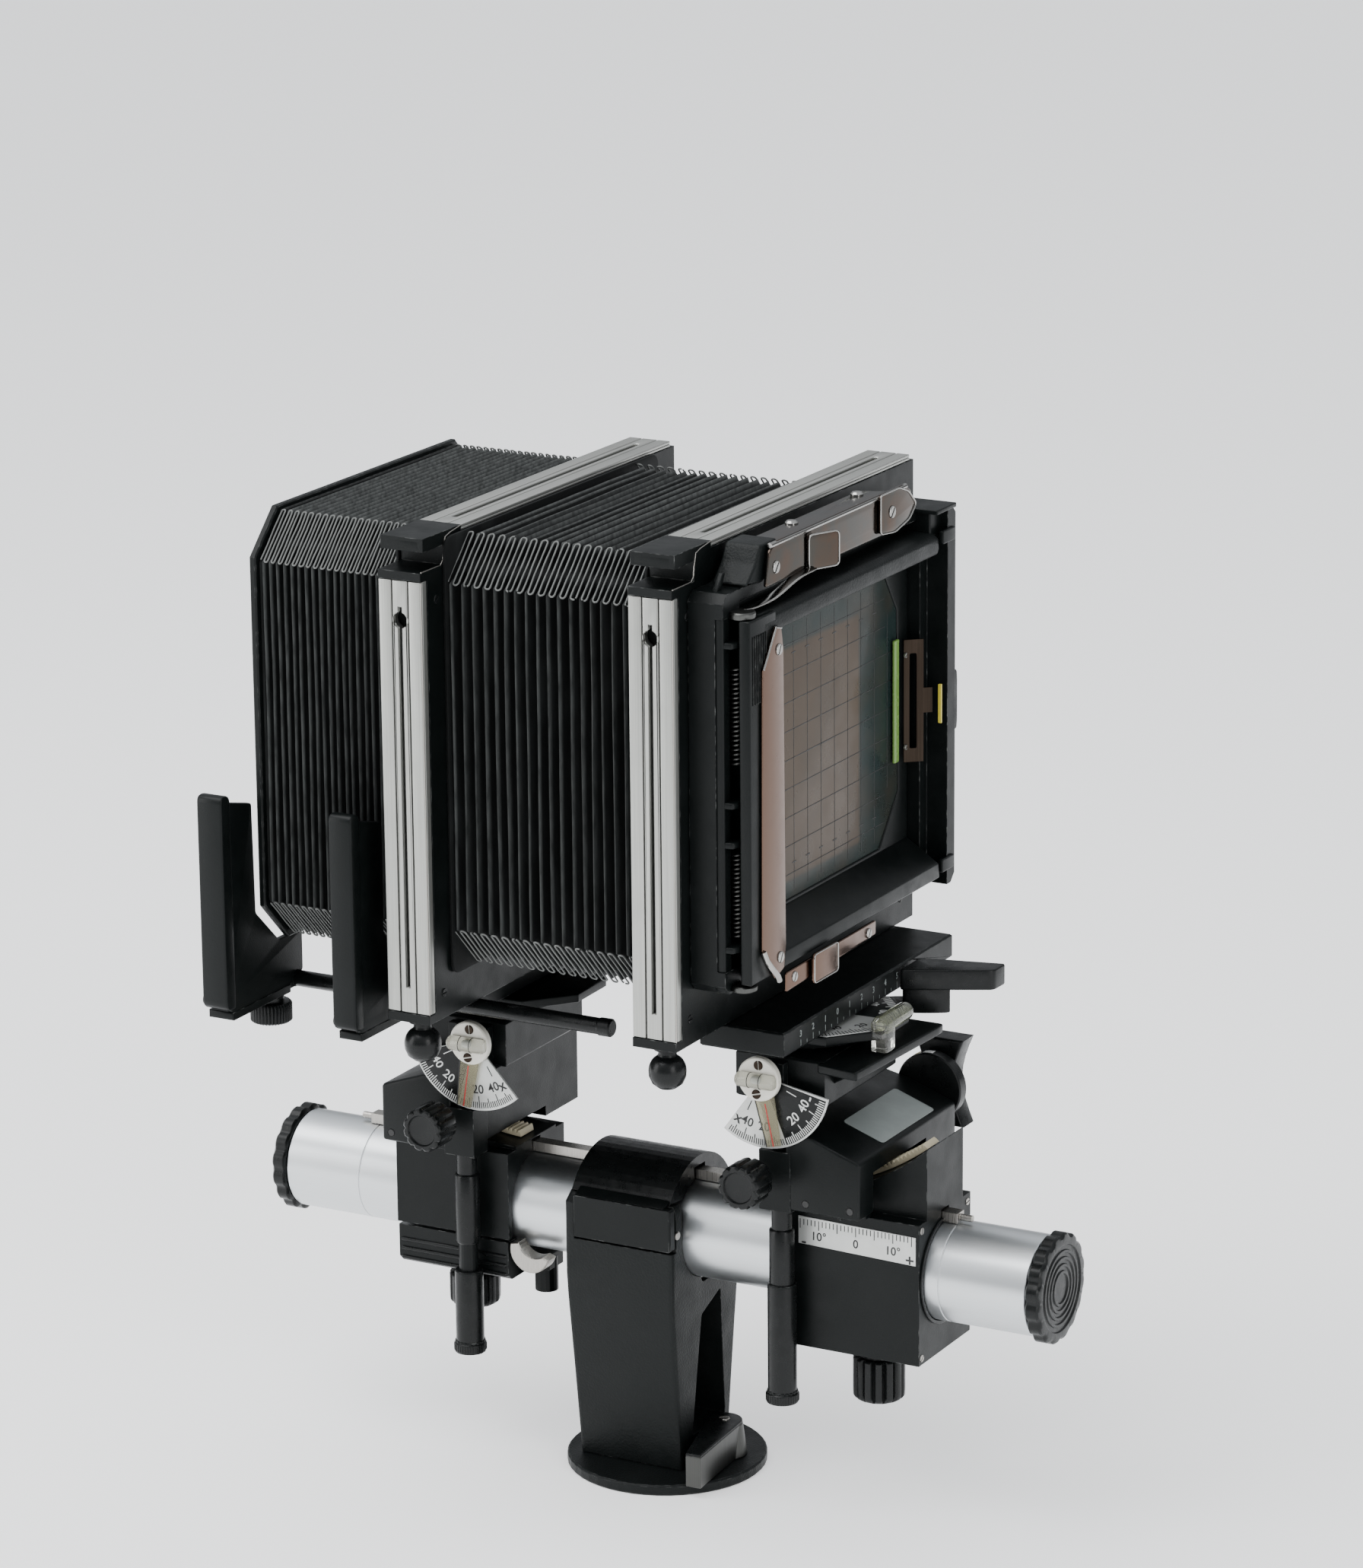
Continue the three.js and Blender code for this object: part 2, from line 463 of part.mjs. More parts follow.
// ---- spring back with its ground glass ----
function buildBack() {
  const x = REAR.x + FRAME.thick / 2 + GAP;
  const { halfY, low, high, depth, glassHalfY, glassHalfZ, glassZ } = BACK;
  const hole = rectangle(-66.5, 66.5, 206.5, 336, 0);
  const window = rectangle(-56, 56, 226, 316, 8);
  const floor = prismX(withHoles(rectangle(-halfY, halfY, low, high, 3), window), x, x + 4);
  const walls = prismX(withHoles(rectangle(-halfY, halfY, low, high, 3), hole), x + 3, x + depth);
  const spareWall = box(x + 10, x + depth + 1, -halfY - 1, -60, low + 8, high - 8);
  const endWalls = box(x + 13, x + depth + 1, -halfY - 1, halfY - 6, low - 1, high + 1);
  add('back_holder', cut(join(floor, walls), spareWall, endWalls), 'black');

  const frame = rectangle(-65.5, 65.5, 208, 334.5, 2);
  frame.holes = [rectangle(-glassHalfY, glassHalfY, glassZ - glassHalfZ, glassZ + glassHalfZ, 10)];
  const [seatY, seatZ] = [glassHalfY + BACK.lap, glassHalfZ + BACK.lap];
  const seat = box(x + 5, x + 8.4, -seatY, seatY, glassZ - seatZ, glassZ + seatZ);
  add('glass_frame', cut(prismX(frame, x + 4.5, x + 16, 0.6), seat), 'black');
  const glass = rectangle(-seatY + GAP, seatY - GAP, glassZ - seatZ + GAP, glassZ + seatZ - GAP, 2);
  add('ground_glass', prismX(glass, x + 5.8, x + 8.1), 'glass');

  const sidePlate = outline([[-59, 201], [-44, 201], [-43, 322], [-48, 327], [-56, 327], [-59, 322]]);
  add('glass_strip', prismX(sidePlate, x + 16.4, x + 17.6), 'chrome');
  const topPlate = outline([[-55, 336.5], [52, 336.5], [54, 341], [49, 349.5], [-51, 349.5], [-55, 345]]);
  add('back_top_plate', prismX(topPlate, x + 16.4, x + 17.6), 'chrome');
  const springs = [['back_upper_spring', ...SPRING.upper], ['back_lower_spring', ...SPRING.lower]];
  const { radius, waist } = SPRING;
  for (const [name, z0, z1] of springs) {
    const profile = [[0, z0]];
    for (let z = z0; z < z1 - SPRING.pitch; z += SPRING.pitch) {
      profile.push([radius, z], [radius, z + 2], [waist, z + 2.4], [waist, z + 3.6]);
    }
    profile.push([0, z1]);
    const spring = new THREE.LatheGeometry(profile.map(([r, z]) => new THREE.Vector2(r, z)), 8);
    add(name, spring.rotateX(Math.PI / 2).translate(x + SPRING.offset, SPRING.y, 0), 'steel');
  }
}

function buildFrontClamp() {
  const section = outline([[-20, 67], [-17.5, 64.6], [14, 64.6], [17, 68], [17, 79], [-20, 79]]);
  const jaw = prismX(section, -97.5, -52.5);
  const arm = box(-54, -44.5, -5, 5, 65, 70.5);
  const plunger = prismZ(circle(-48.5, 0, 4.2, 16), 56, 69);
  const bore = prismX(circle(0, RAIL.z, RAIL.radius + GAP, 40), -120, -30);
  add('front_clamp_jaw', cut(join(jaw, arm, plunger), bore), 'black');
  const belly = arcPoints(-44, 77, 8, 165, 345, 14);
  const crescent = outline([...belly, ...arcPoints(-42, 81.5, 6.6, 300, 195, 10)]);
  add('front_cam_lever', prismY(crescent, -20, -14, 0.4), 'steel');
}

// ---- lever that frees the rear swing ----
function buildSwingLever() {
  const { low, thick, blade, bladeTop } = LEVER;
  const cx = REAR.x + SPINDLE.offset;
  const ring = withHoles(circle(cx, 0, SPINDLE.radius + 5, 32), circle(cx, 0, SPINDLE.radius + GAP, 32));
  const arm = outline([[62, 15.5], [70.5, 11.5], [76, 26], [84, 46], [80, 52], [76, 48], [68, 32]]);
  const side = outline([[76, low], [90, low], [107, bladeTop - 8], [107, bladeTop], [76, bladeTop]]);
  const grip = prismY(side, blade, blade + 8, 0.8);
  add('rear_swing_lever', join(prismZ(ring, low, low + thick), prismZ(arm, low, low + thick), grip), 'black');
}

buildBase();
buildRail();
for (const s of [REAR, FRONT]) {
  buildCarriage(s);
  buildCradle(s);
  buildLift(s);
  buildBearer(s);
  buildTable(s);
  buildFrame(s);
}
buildFrontClamp();
buildSwingLever();
buildBellows();
buildBack();

export default camera;
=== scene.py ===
# Looks of the large format view camera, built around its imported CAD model.
# Lengths are in millimetres and go through MM to Blender's metres.
import json
import math
import bmesh
import bpy
from mathutils import Matrix, Vector, noise


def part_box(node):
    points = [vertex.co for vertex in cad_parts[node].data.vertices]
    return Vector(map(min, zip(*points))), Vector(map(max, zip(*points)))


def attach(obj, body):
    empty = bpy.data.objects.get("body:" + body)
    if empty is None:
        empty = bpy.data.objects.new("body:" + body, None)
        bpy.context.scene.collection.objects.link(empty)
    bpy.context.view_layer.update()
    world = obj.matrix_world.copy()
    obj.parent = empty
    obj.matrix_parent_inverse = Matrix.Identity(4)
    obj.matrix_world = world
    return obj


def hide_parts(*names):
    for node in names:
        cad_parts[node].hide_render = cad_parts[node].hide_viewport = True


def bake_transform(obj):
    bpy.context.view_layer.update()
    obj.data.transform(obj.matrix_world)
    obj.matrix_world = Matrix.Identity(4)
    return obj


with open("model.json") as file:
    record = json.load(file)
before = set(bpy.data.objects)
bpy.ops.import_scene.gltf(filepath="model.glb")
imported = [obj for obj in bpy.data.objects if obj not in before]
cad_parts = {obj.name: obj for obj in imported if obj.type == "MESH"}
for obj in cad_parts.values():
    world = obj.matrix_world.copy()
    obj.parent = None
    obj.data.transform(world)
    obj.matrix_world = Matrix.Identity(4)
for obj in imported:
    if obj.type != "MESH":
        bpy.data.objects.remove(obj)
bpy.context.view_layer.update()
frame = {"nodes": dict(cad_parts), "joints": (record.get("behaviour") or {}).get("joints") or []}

MM = 0.001
LIGHT_PATH = 0.27  # height in metres of the line that the bellows stretches are split along
RAIL_SEAM = 115.5


# ---- reading the frame ----
class Box:
    """A CAD node's box in millimetres."""

    def __init__(self, node):
        low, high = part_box(node)
        self.x0, self.y0, self.z0 = [v / MM for v in low]
        self.x1, self.y1, self.z1 = [v / MM for v in high]
        self.x = (self.x0 + self.x1) / 2
        self.y = (self.y0 + self.y1) / 2
        self.z = (self.z0 + self.z1) / 2


PIVOT = {j["name"]: Vector(j.get("pos_m", (0, 0, 0))) / MM for j in frame["joints"]}


# ---- camera, light and floor ----
def make_camera():
    """The view: direction in degrees, lens in millimetres and place."""
    azimuth, elevation, roll = math.radians(28.674), math.radians(15.598), math.radians(-0.541)
    right = Vector((math.cos(azimuth), math.sin(azimuth), 0))
    back = Vector((
        math.cos(elevation) * math.sin(azimuth),
        -math.cos(elevation) * math.cos(azimuth),
        math.sin(elevation),
    ))
    up = back.cross(right)
    turned = right * math.cos(roll) + up * math.sin(roll)
    upright = up * math.cos(roll) - right * math.sin(roll)
    data = bpy.data.cameras.new("view")
    data.sensor_fit = "HORIZONTAL"
    data.sensor_width = 36
    data.lens = 154.07
    data.clip_end = 50
    camera = bpy.data.objects.new("view", data)
    bpy.context.collection.objects.link(camera)
    place = Matrix((turned, upright, back)).transposed().to_4x4()
    place.translation = Vector((935.66, -1695.78, 789.78)) * MM
    camera.matrix_world = place
    bpy.context.scene.camera = camera


def area_light(name, place, target, size, power, color=(1, 1, 1)):
    """A soft box at a place, in metres, that faces a target."""
    data = bpy.data.lights.new(name, "AREA")
    data.shape = "RECTANGLE"
    data.size, data.size_y = size
    data.energy = power
    data.color = color
    light = bpy.data.objects.new(name, data)
    bpy.context.collection.objects.link(light)
    light.location = place
    light.rotation_euler = (Vector(target) - Vector(place)).to_track_quat("-Z", "Y").to_euler()


def make_studio():
    """Soft daylight, three soft boxes and a pale floor."""
    world = bpy.data.worlds.new("studio")
    bpy.context.scene.world = world
    world.use_nodes = True
    sky = world.node_tree
    sky.nodes["Background"].inputs[0].default_value = (0.93, 0.96, 1, 1)
    split, spread = sky.nodes.new("ShaderNodeSeparateXYZ"), sky.nodes.new("ShaderNodeMapRange")
    sky.links.new(sky.nodes.new("ShaderNodeTexCoord").outputs["Generated"], split.inputs[0])
    sky.links.new(split.outputs["Z"], spread.inputs["Value"])
    for socket, number in (("From Min", 0.0), ("From Max", 0.8), ("To Min", 0.16), ("To Max", 1.1)):
        spread.inputs[socket].default_value = number
    sky.links.new(spread.outputs[0], sky.nodes["Background"].inputs[1])
    centre = (0, 0, 0.2)
    area_light("top_softbox", (-0.5, -0.5, 1.7), centre, (1.5, 1.2), 26)
    area_light("left_softbox", (-1.5, -1.3, 0.7), centre, (0.9, 1.3), 17)
    area_light("right_softbox", (1.7, -0.9, 0.8), centre, (0.7, 1.2), 12)

    half = 9
    mesh = bpy.data.meshes.new("floor")
    mesh.from_pydata([(-half, -half, 0), (half, -half, 0), (half, half, 0), (-half, half, 0)], [],
                     [(0, 1, 2, 3)])
    floor = bpy.data.objects.new("floor", mesh)
    bpy.context.collection.objects.link(floor)
    paper = bpy.data.materials.new("floor_paper")
    paper.use_nodes = True
    shader = paper.node_tree.nodes["Principled BSDF"]
    shader.inputs["Base Color"].default_value = (0.93, 0.935, 0.94, 1)
    shader.inputs["Roughness"].default_value = 0.9
    shader.inputs["Emission Color"].default_value = (1, 1, 1, 1)
    shader.inputs["Emission Strength"].default_value = 0.62
    mesh.materials.append(paper)


# ---- materials ----
class Finish:
    """A node material being put together around one Principled shader."""

    def __init__(self, name, color, roughness, metallic=0.0, **sockets):
        self.material = bpy.data.materials.new(name)
        self.material.use_nodes = True
        self.tree = self.material.node_tree
        self.shader = self.tree.nodes["Principled BSDF"]
        self.shader.inputs["Base Color"].default_value = (*color, 1)
        self.shader.inputs["Roughness"].default_value = roughness
        self.shader.inputs["Metallic"].default_value = metallic
        for socket, value in sockets.items():
            self.shader.inputs[socket.replace("_", " ")].default_value = value
        self.color, self.roughness = (*color, 1), roughness
        self.height = None
        self.place = self.node("ShaderNodeTexCoord").outputs["Object"]

    def node(self, kind, **settings):
        made = self.tree.nodes.new(kind)
        for key, value in settings.items():
            setattr(made, key, value)
        return made

    def link(self, source, target):
        self.tree.links.new(source, target)

    def noise(self, scale, detail=3, stretch=(1, 1, 1), distortion=0.0):
        """Noise of so many cells per millimetre, stretched along the given axes."""
        spread = self.node("ShaderNodeMapping")
        spread.inputs["Scale"].default_value = [1 / (MM * s) for s in stretch]
        self.link(self.place, spread.inputs["Vector"])
        texture = self.node("ShaderNodeTexNoise")
        texture.inputs["Scale"].default_value = scale
        texture.inputs["Detail"].default_value = detail
        texture.inputs["Distortion"].default_value = distortion
        self.link(spread.outputs[0], texture.inputs["Vector"])
        return texture.outputs["Fac"]

    def range(self, value, low, high, to_low=0.0, to_high=1.0):
        mapped = self.node("ShaderNodeMapRange")
        self.link(value, mapped.inputs["Value"])
        for socket, number in zip(("From Min", "From Max", "To Min", "To Max"), (low, high, to_low, to_high)):
            mapped.inputs[socket].default_value = number
        return mapped.outputs[0]

    def times(self, a, b):
        both = self.node("ShaderNodeMath", operation="MULTIPLY", use_clamp=True)
        self.link(a, both.inputs[0])
        self.link(b, both.inputs[1])
        return both.outputs[0]

    def tint(self, factor, color):
        """Mixes another colour over the base colour."""
        mix = self.node("ShaderNodeMix", data_type="RGBA")
        self.link(factor, mix.inputs["Factor"])
        base = self.shader.inputs["Base Color"]
        if base.is_linked:
            self.link(base.links[0].from_socket, mix.inputs["A"])
        else:
            mix.inputs["A"].default_value = self.color
        mix.inputs["B"].default_value = (*color, 1)
        self.link(mix.outputs["Result"], base)

    def vary_roughness(self, value, spread):
        low, high = self.roughness - spread, self.roughness + spread
        self.link(self.range(value, 0.3, 0.7, low, high), self.shader.inputs["Roughness"])

    def bump(self, value, distance, strength=1.0):
        """Adds a height of so many millimetres."""
        made = self.node("ShaderNodeBump")
        made.inputs["Distance"].default_value = distance * MM
        made.inputs["Strength"].default_value = strength
        self.link(value, made.inputs["Height"])
        if self.height is not None:
            self.link(self.height, made.inputs["Normal"])
        self.height = made.outputs[0]
        self.link(self.height, self.shader.inputs["Normal"])

    def edges(self, radius):
        """Rounds hard edges by so many millimetres and returns a mask of where they are."""
        rounded = self.node("ShaderNodeBevel", samples=6)
        rounded.inputs["Radius"].default_value = radius * MM
        flat = self.node("ShaderNodeNewGeometry")
        dot = self.node("ShaderNodeVectorMath", operation="DOT_PRODUCT")
        self.link(rounded.outputs[0], dot.inputs[0])
        self.link(flat.outputs["Normal"], dot.inputs[1])
        self.height = rounded.outputs[0]
        self.link(self.height, self.shader.inputs["Normal"])
        return self.range(dot.outputs["Value"], 0.985, 0.8)


def painted(name, color, roughness=0.36, grain=0.05, wear=0.75, grain_scale=2.4):
    """Satin enamel with fine grain, greyed in places along its edges, partly worn to grey metal and partly a
    painted highlight.
    """
    finish = Finish(name, color, roughness, Specular_IOR_Level=0.17)
    edge = finish.edges(0.45)
    grain_noise = finish.noise(grain_scale, 2)
    cloud = finish.noise(0.06, 4)
    finish.tint(finish.range(cloud, 0.45, 0.75, 0, 0.35), [c * 1.5 + 0.003 for c in color])
    # the grey edge tint is partly worn paint and partly a painted highlight
    worn = finish.times(edge, finish.range(finish.noise(0.35, 5), 0.5, 0.68, 0, wear))
    finish.tint(worn, (0.3, 0.31, 0.3))
    finish.vary_roughness(finish.noise(0.12, 5), 0.07)
    finish.bump(grain_noise, grain)
    return finish.material


def brushed(name, color, roughness, along, metallic=1.0, scratch=0.004, streak=0.55, **sockets):
    """Metal with fine lines along one axis."""
    finish = Finish(name, color, roughness, metallic, **sockets)
    finish.edges(0.25)
    stretch = [60 if axis == along else 0.5 for axis in "XYZ"]
    lines = finish.noise(1.6, 4, stretch)
    finish.tint(finish.range(lines, 0.35, 0.75, 0, streak), [c * 0.72 for c in color])
    stain = finish.noise(0.05, 5, (1, 1, 1), 0.6)
    finish.tint(finish.range(stain, 0.52, 0.8, 0, streak * 0.5), [c * 0.6 for c in color])
    finish.vary_roughness(lines, streak * 0.14)
    finish.bump(lines, scratch)
    return finish.material


def plate(name, color, roughness, tone):
    """Polished sheet metal with faint rubbed lines, and smudges that carry a warm tone, partly smudge and
    partly a painted reflection.
    """
    finish = Finish(name, color, roughness, 1.0)
    finish.edges(0.3)
    # the tone laid in these patches is partly smudge and partly a painted reflection
    smudge_and_reflection = finish.noise(0.08, 5, (1, 1, 1), 0.8)
    finish.tint(finish.range(smudge_and_reflection, 0.4, 0.75, 0, 0.7), tone)
    finish.vary_roughness(finish.noise(0.2, 5), 0.06)
    finish.bump(finish.noise(2.5, 2, (1, 8, 1)), 0.006)
    return finish.material


def plastic(name, color, roughness=0.4, grain=0.03, mottle=1.0, **sockets):
    """Moulded plastic, lighter in places along its edges, partly rubbed and partly a painted highlight."""
    finish = Finish(name, color, roughness, **sockets)
    edge = finish.edges(0.3)
    # the lighter edge tint is partly rubbed plastic and partly a painted highlight
    rubbed_and_highlit = finish.range(finish.noise(0.5, 4), 0.45, 0.7, 0, 0.4 * mottle)
    finish.tint(finish.times(edge, rubbed_and_highlit), [min(1, c * 2 + 0.03) for c in color])
    cloud = finish.range(finish.noise(0.1, 4), 0.5, 0.8, 0, 0.3 * mottle)
    finish.tint(cloud, [min(1, c * 1.5 + 0.006) for c in color])
    finish.vary_roughness(finish.noise(0.3, 4), 0.08 * mottle)
    finish.bump(finish.noise(2.0, 2), grain)
    return finish.material


def bellows_cloth(name, color, sheen):
    """Coated cloth: a fine weave under a dull coating, with dust in the folds and its fold ridges lightened,
    partly rubbed and partly a painted highlight.
    """
    finish = Finish(name, color, 0.62, Sheen_Weight=sheen, Sheen_Roughness=0.5, Specular_IOR_Level=0.1)
    weave = finish.noise(5.0, 2, (1, 1.6, 1.6))
    dust = finish.noise(0.16, 5, (1, 2, 5))
    finish.tint(finish.range(dust, 0.5, 0.8, 0, 0.5), (0.03, 0.033, 0.033))
    # the fold ridges are lightened: partly rubbed cloth, partly a painted highlight
    worn = finish.node("ShaderNodeAttribute", attribute_name="wear").outputs["Fac"]
    rubbed_and_highlit = finish.times(worn, finish.range(finish.noise(0.5, 4, (1, 1, 4)), 0.3, 0.62, 0.35, 1))
    finish.tint(rubbed_and_highlit, (0.085, 0.09, 0.088))
    finish.vary_roughness(dust, 0.1)
    finish.bump(weave, 0.05)
    return finish.material


def ground_glass(name):
    """A dim olive screen with a painted reflection: a warm tone over the wide side and a cool tone over the
    rest.
    """
    finish = Finish(name, (0.06, 0.04, 0.024), 0.3, Specular_IOR_Level=0.14, Coat_Weight=0.05,
                    Coat_Roughness=0.08)
    split = finish.node("ShaderNodeSeparateXYZ")
    finish.link(finish.place, split.inputs[0])
    # painted reflection: the cool tone beyond Y 30 mm and outside Z 229 to 309 mm, around the warm base
    # colour, which is painted reflection too
    finish.tint(finish.range(split.outputs["Y"], 0.0285, 0.0305), (0.012, 0.022, 0.021))
    for low, high in ((0.309, 0.3105), (0.2295, 0.228)):
        finish.tint(finish.range(split.outputs["Z"], low, high), (0.014, 0.023, 0.021))
    finish.tint(finish.range(finish.noise(0.06, 4), 0.4, 0.75, 0, 0.6), (0.04, 0.03, 0.02))
    finish.vary_roughness(finish.noise(0.1, 4), 0.05)
    finish.bump(finish.noise(6.0, 2), 0.004)
    return finish.material


BLACK = painted("black_enamel", (0.0032, 0.0044, 0.0043))
CAST = painted("cast_enamel", (0.0052, 0.0066, 0.0065), 0.44, 0.16, 0.6, 1.3)
PLASTIC = plastic("black_plastic", (0.004, 0.0048, 0.0048), 0.3, Specular_IOR_Level=0.24)
BELLOWS = bellows_cloth("bellows_cloth", (0.003, 0.0036, 0.0036), 0.05)
FOLD_EDGE = plastic("fold_edge", (0.13, 0.135, 0.13), 0.7, 0.08)
RAIL_X = brushed("rail_aluminium", (0.68, 0.705, 0.72), 0.34, "X", 1.0, 0.0006, 0.12)
GUNMETAL = brushed("gunmetal", (0.085, 0.086, 0.082), 0.36, "Z", 1.0, 0.004, 0.3)
STRIP_Z = brushed("satin_strip_z", (0.42, 0.425, 0.4), 0.38, "Z", 0.8, 0.004)
STRIP_Y = brushed("satin_strip_y", (0.47, 0.475, 0.45), 0.38, "Y", 0.8, 0.004)
STEEL = brushed("plain_steel", (0.42, 0.4, 0.37), 0.3, "Z")
RUST = brushed("browned_steel", (0.034, 0.025, 0.019), 0.45, "Z")
CHROME = plate("bright_plate", (0.36, 0.355, 0.34), 0.16, (0.28, 0.265, 0.25))
MIRROR = plate("dark_mirror_plate", (0.06, 0.056, 0.05), 0.12, (0.1, 0.055, 0.035))
COPPERY = plate("warm_mirror_plate", (0.128, 0.08, 0.06), 0.22, (0.125, 0.08, 0.06))
CREAM = plastic("cream_disc", (0.72, 0.7, 0.62), 0.3, 0.01)
SPRING_STEEL = brushed("dark_spring_steel", (0.1, 0.1, 0.095), 0.35, "Z")
SPIRIT = plastic("level_spirit", (0.7, 0.74, 0.55), 0.06, 0.001, 0.1, Transmission_Weight=0.9, IOR=1.36)
WHITE = plastic("white_marks", (0.75, 0.76, 0.74), 0.45, 0.005)
GREY = plastic("label_grey", (0.26, 0.29, 0.28), 0.42, 0.02)
GREEN = plastic("edge_lit_strip", (0.13, 0.24, 0.05), 0.25, 0.01)
AMBER = plastic("amber_pointer", (0.56, 0.53, 0.4), 0.12, 0.001, 0.1, Transmission_Weight=0.8, IOR=1.15)
# the screen's warm and cool tones are a painted reflection
GLASS_PAINTED_REFLECTION = ground_glass("ground_glass_painted_reflection")
SILVER = plastic("scale_silver", (0.56, 0.57, 0.55), 0.38, 0.01, Metallic=0.55)
MARKS = plastic("scale_black", (0.01, 0.01, 0.01), 0.45)
NYLON = plastic("nylon", (0.62, 0.55, 0.38), 0.5, 0.03)
CLEAR = plastic("clear_plastic", (0.8, 0.8, 0.73), 0.06, 0.001, 0.1, Transmission_Weight=0.95, IOR=1.4)
YELLOW = plastic("yellow_mark", (0.6, 0.49, 0.05), 0.4)
RED = plastic("red_line", (0.42, 0.02, 0.015), 0.4)

CAD_FINISH = {
    "foot_disc": CAST, "clamp_tower": CAST, "clamp_jaw": PLASTIC, "foot_lever": CAST, "rail_tube": RAIL_X,
    "rail_rack": STEEL, "front_cam_lever": STEEL, "glass_strip": CHROME, "back_top_plate": CHROME,
    "rail_front_cap": PLASTIC, "rail_rear_cap": PLASTIC, "hood_thumb_knob": PLASTIC, "ground_glass": CLEAR,
    "back_upper_spring": STEEL, "back_lower_spring": STEEL, "main_bellows": BELLOWS, "hood_bellows": BELLOWS,
}
for side in ("front", "rear"):
    CAD_FINISH.update({
        f"{side}_side_strip": STRIP_Z, f"{side}_top_strip": STRIP_Y, f"{side}_fan_scale": SILVER,
        f"{side}_level": CLEAR, f"{side}_tilt_rack": NYLON, f"{side}_focus_knob": PLASTIC,
        f"{side}_tilt_knob": PLASTIC, f"{side}_rise_knob": PLASTIC, f"{side}_ball_knob": PLASTIC,
    })
for node, shown in frame["nodes"].items():
    shown.data.materials.clear()
    shown.data.materials.append(CAD_FINISH.get(node, BLACK))


# ---- mesh helpers ----
def piece(name, vertices, faces, material, body=None, smooth=True):
    """A mesh in millimetres, which rides on a body."""
    mesh = bpy.data.meshes.new(name)
    mesh.from_pydata([Vector(v) * MM for v in vertices], [], faces)
    return finish_piece(name, mesh, material, body, smooth)


def finish_piece(name, mesh, material, body, smooth=True):
    """Cleans a mesh, shades it and gives it its material and body."""
    built = bmesh.new()
    built.from_mesh(mesh)
    bmesh.ops.remove_doubles(built, verts=built.verts, dist=1e-7)
    bmesh.ops.recalc_face_normals(built, faces=built.faces)
    built.to_mesh(mesh)
    built.free()
    made = bpy.data.objects.new(name, mesh)
    bpy.context.collection.objects.link(made)
    mesh.materials.append(material)
    if smooth:
        mesh.shade_smooth()
        mesh.set_sharp_from_angle(angle=math.radians(32))
    if body:
        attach(made, body)
    return made


AXES = {
    "X": Matrix(((0, 0, 1), (1, 0, 0), (0, 1, 0))),
    "Y": Matrix(((1, 0, 0), (0, 0, -1), (0, 1, 0))),
    "Z": Matrix.Identity(3),
}


def rounded(points, radius=0.0, steps=4):
    """A closed outline with round corners; a point may carry its own radius as a third number."""
    made = []
    for i, point in enumerate(points):
        here = Vector(point[:2])
        size = point[2] if len(point) > 2 else radius
        if size == 0:
            made.append(tuple(here))
            continue
        before = (Vector(points[i - 1][:2]) - here).normalized()
        after = (Vector(points[(i + 1) % len(points)][:2]) - here).normalized()
        start, end = here + before * size, here + after * size
        for k in range(steps + 1):
            t = k / steps
            made.append(tuple(start * (1 - t) ** 2 + here * (2 * t * (1 - t)) + end * t * t))
    return made


def rectangle(a0, a1, b0, b1, radius=0.0):
    """A rectangular outline."""
    return rounded([(a0, b0), (a1, b0), (a1, b1), (a0, b1)], radius)


def octagon(half, low, high, cut):
    """A square outline about the light path with cut corners."""
    return [(-half, low + cut), (-half, high - cut), (-half + cut, high), (half - cut, high),
            (half, high - cut), (half, low + cut), (half - cut, low), (-half + cut, low)]


def ring(a, b, radius, count=32, start=0.0, turn=360.0):
    """Points along a circle, or along an arc when turn is less than a full circle."""
    closed = 0 if turn == 360 else 1
    angles = [math.radians(start + turn * i / (count - closed)) for i in range(count)]
    return [(a + radius * math.cos(t), b + radius * math.sin(t)) for t in angles]


def curve_mesh(name, curve):
    """Turns a curve into a mesh."""
    carrier = bpy.data.objects.new(name, curve)
    bpy.context.collection.objects.link(carrier)
    bpy.context.view_layer.update()
    mesh = bpy.data.meshes.new_from_object(carrier)
    bpy.data.objects.remove(carrier)
    bpy.data.curves.remove(curve)
    mesh.name = name
    return mesh


def flat_mesh(name, outline, low, high, bevel, holes):
    """A flat plate with round edges, its outline across local Z, from low to high along it."""
    curve = bpy.data.curves.new(name, "CURVE")
    curve.dimensions = "2D"
    curve.fill_mode = "BOTH"
    curve.extrude = ((high - low) / 2 - bevel) * MM
    curve.bevel_depth = bevel * MM
    curve.bevel_resolution = 2
    curve.offset = -bevel * MM
    for loop in (outline, *holes):
        spline = curve.splines.new("POLY")
        spline.points.add(len(loop) - 1)
        for target, (a, b) in zip(spline.points, loop):
            target.co = (a * MM, b * MM, 0, 1)
        spline.use_cyclic_u = True
    mesh = curve_mesh(name, curve)
    mesh.transform(Matrix.Translation((0, 0, (low + high) / 2 * MM)))
    return mesh


def plate_piece(name, axis, outline, low, high, material, body, slot, bevel=0.3, holes=()):
    """A flat piece with round edges: an outline across the axis, from low to high along it."""
    if axis == "Y":
        low, high = -high, -low
    mesh = flat_mesh(name, outline, low, high, bevel, holes)
    mesh.transform(AXES[axis].to_4x4())
    return finish_piece(name, mesh, material, body)


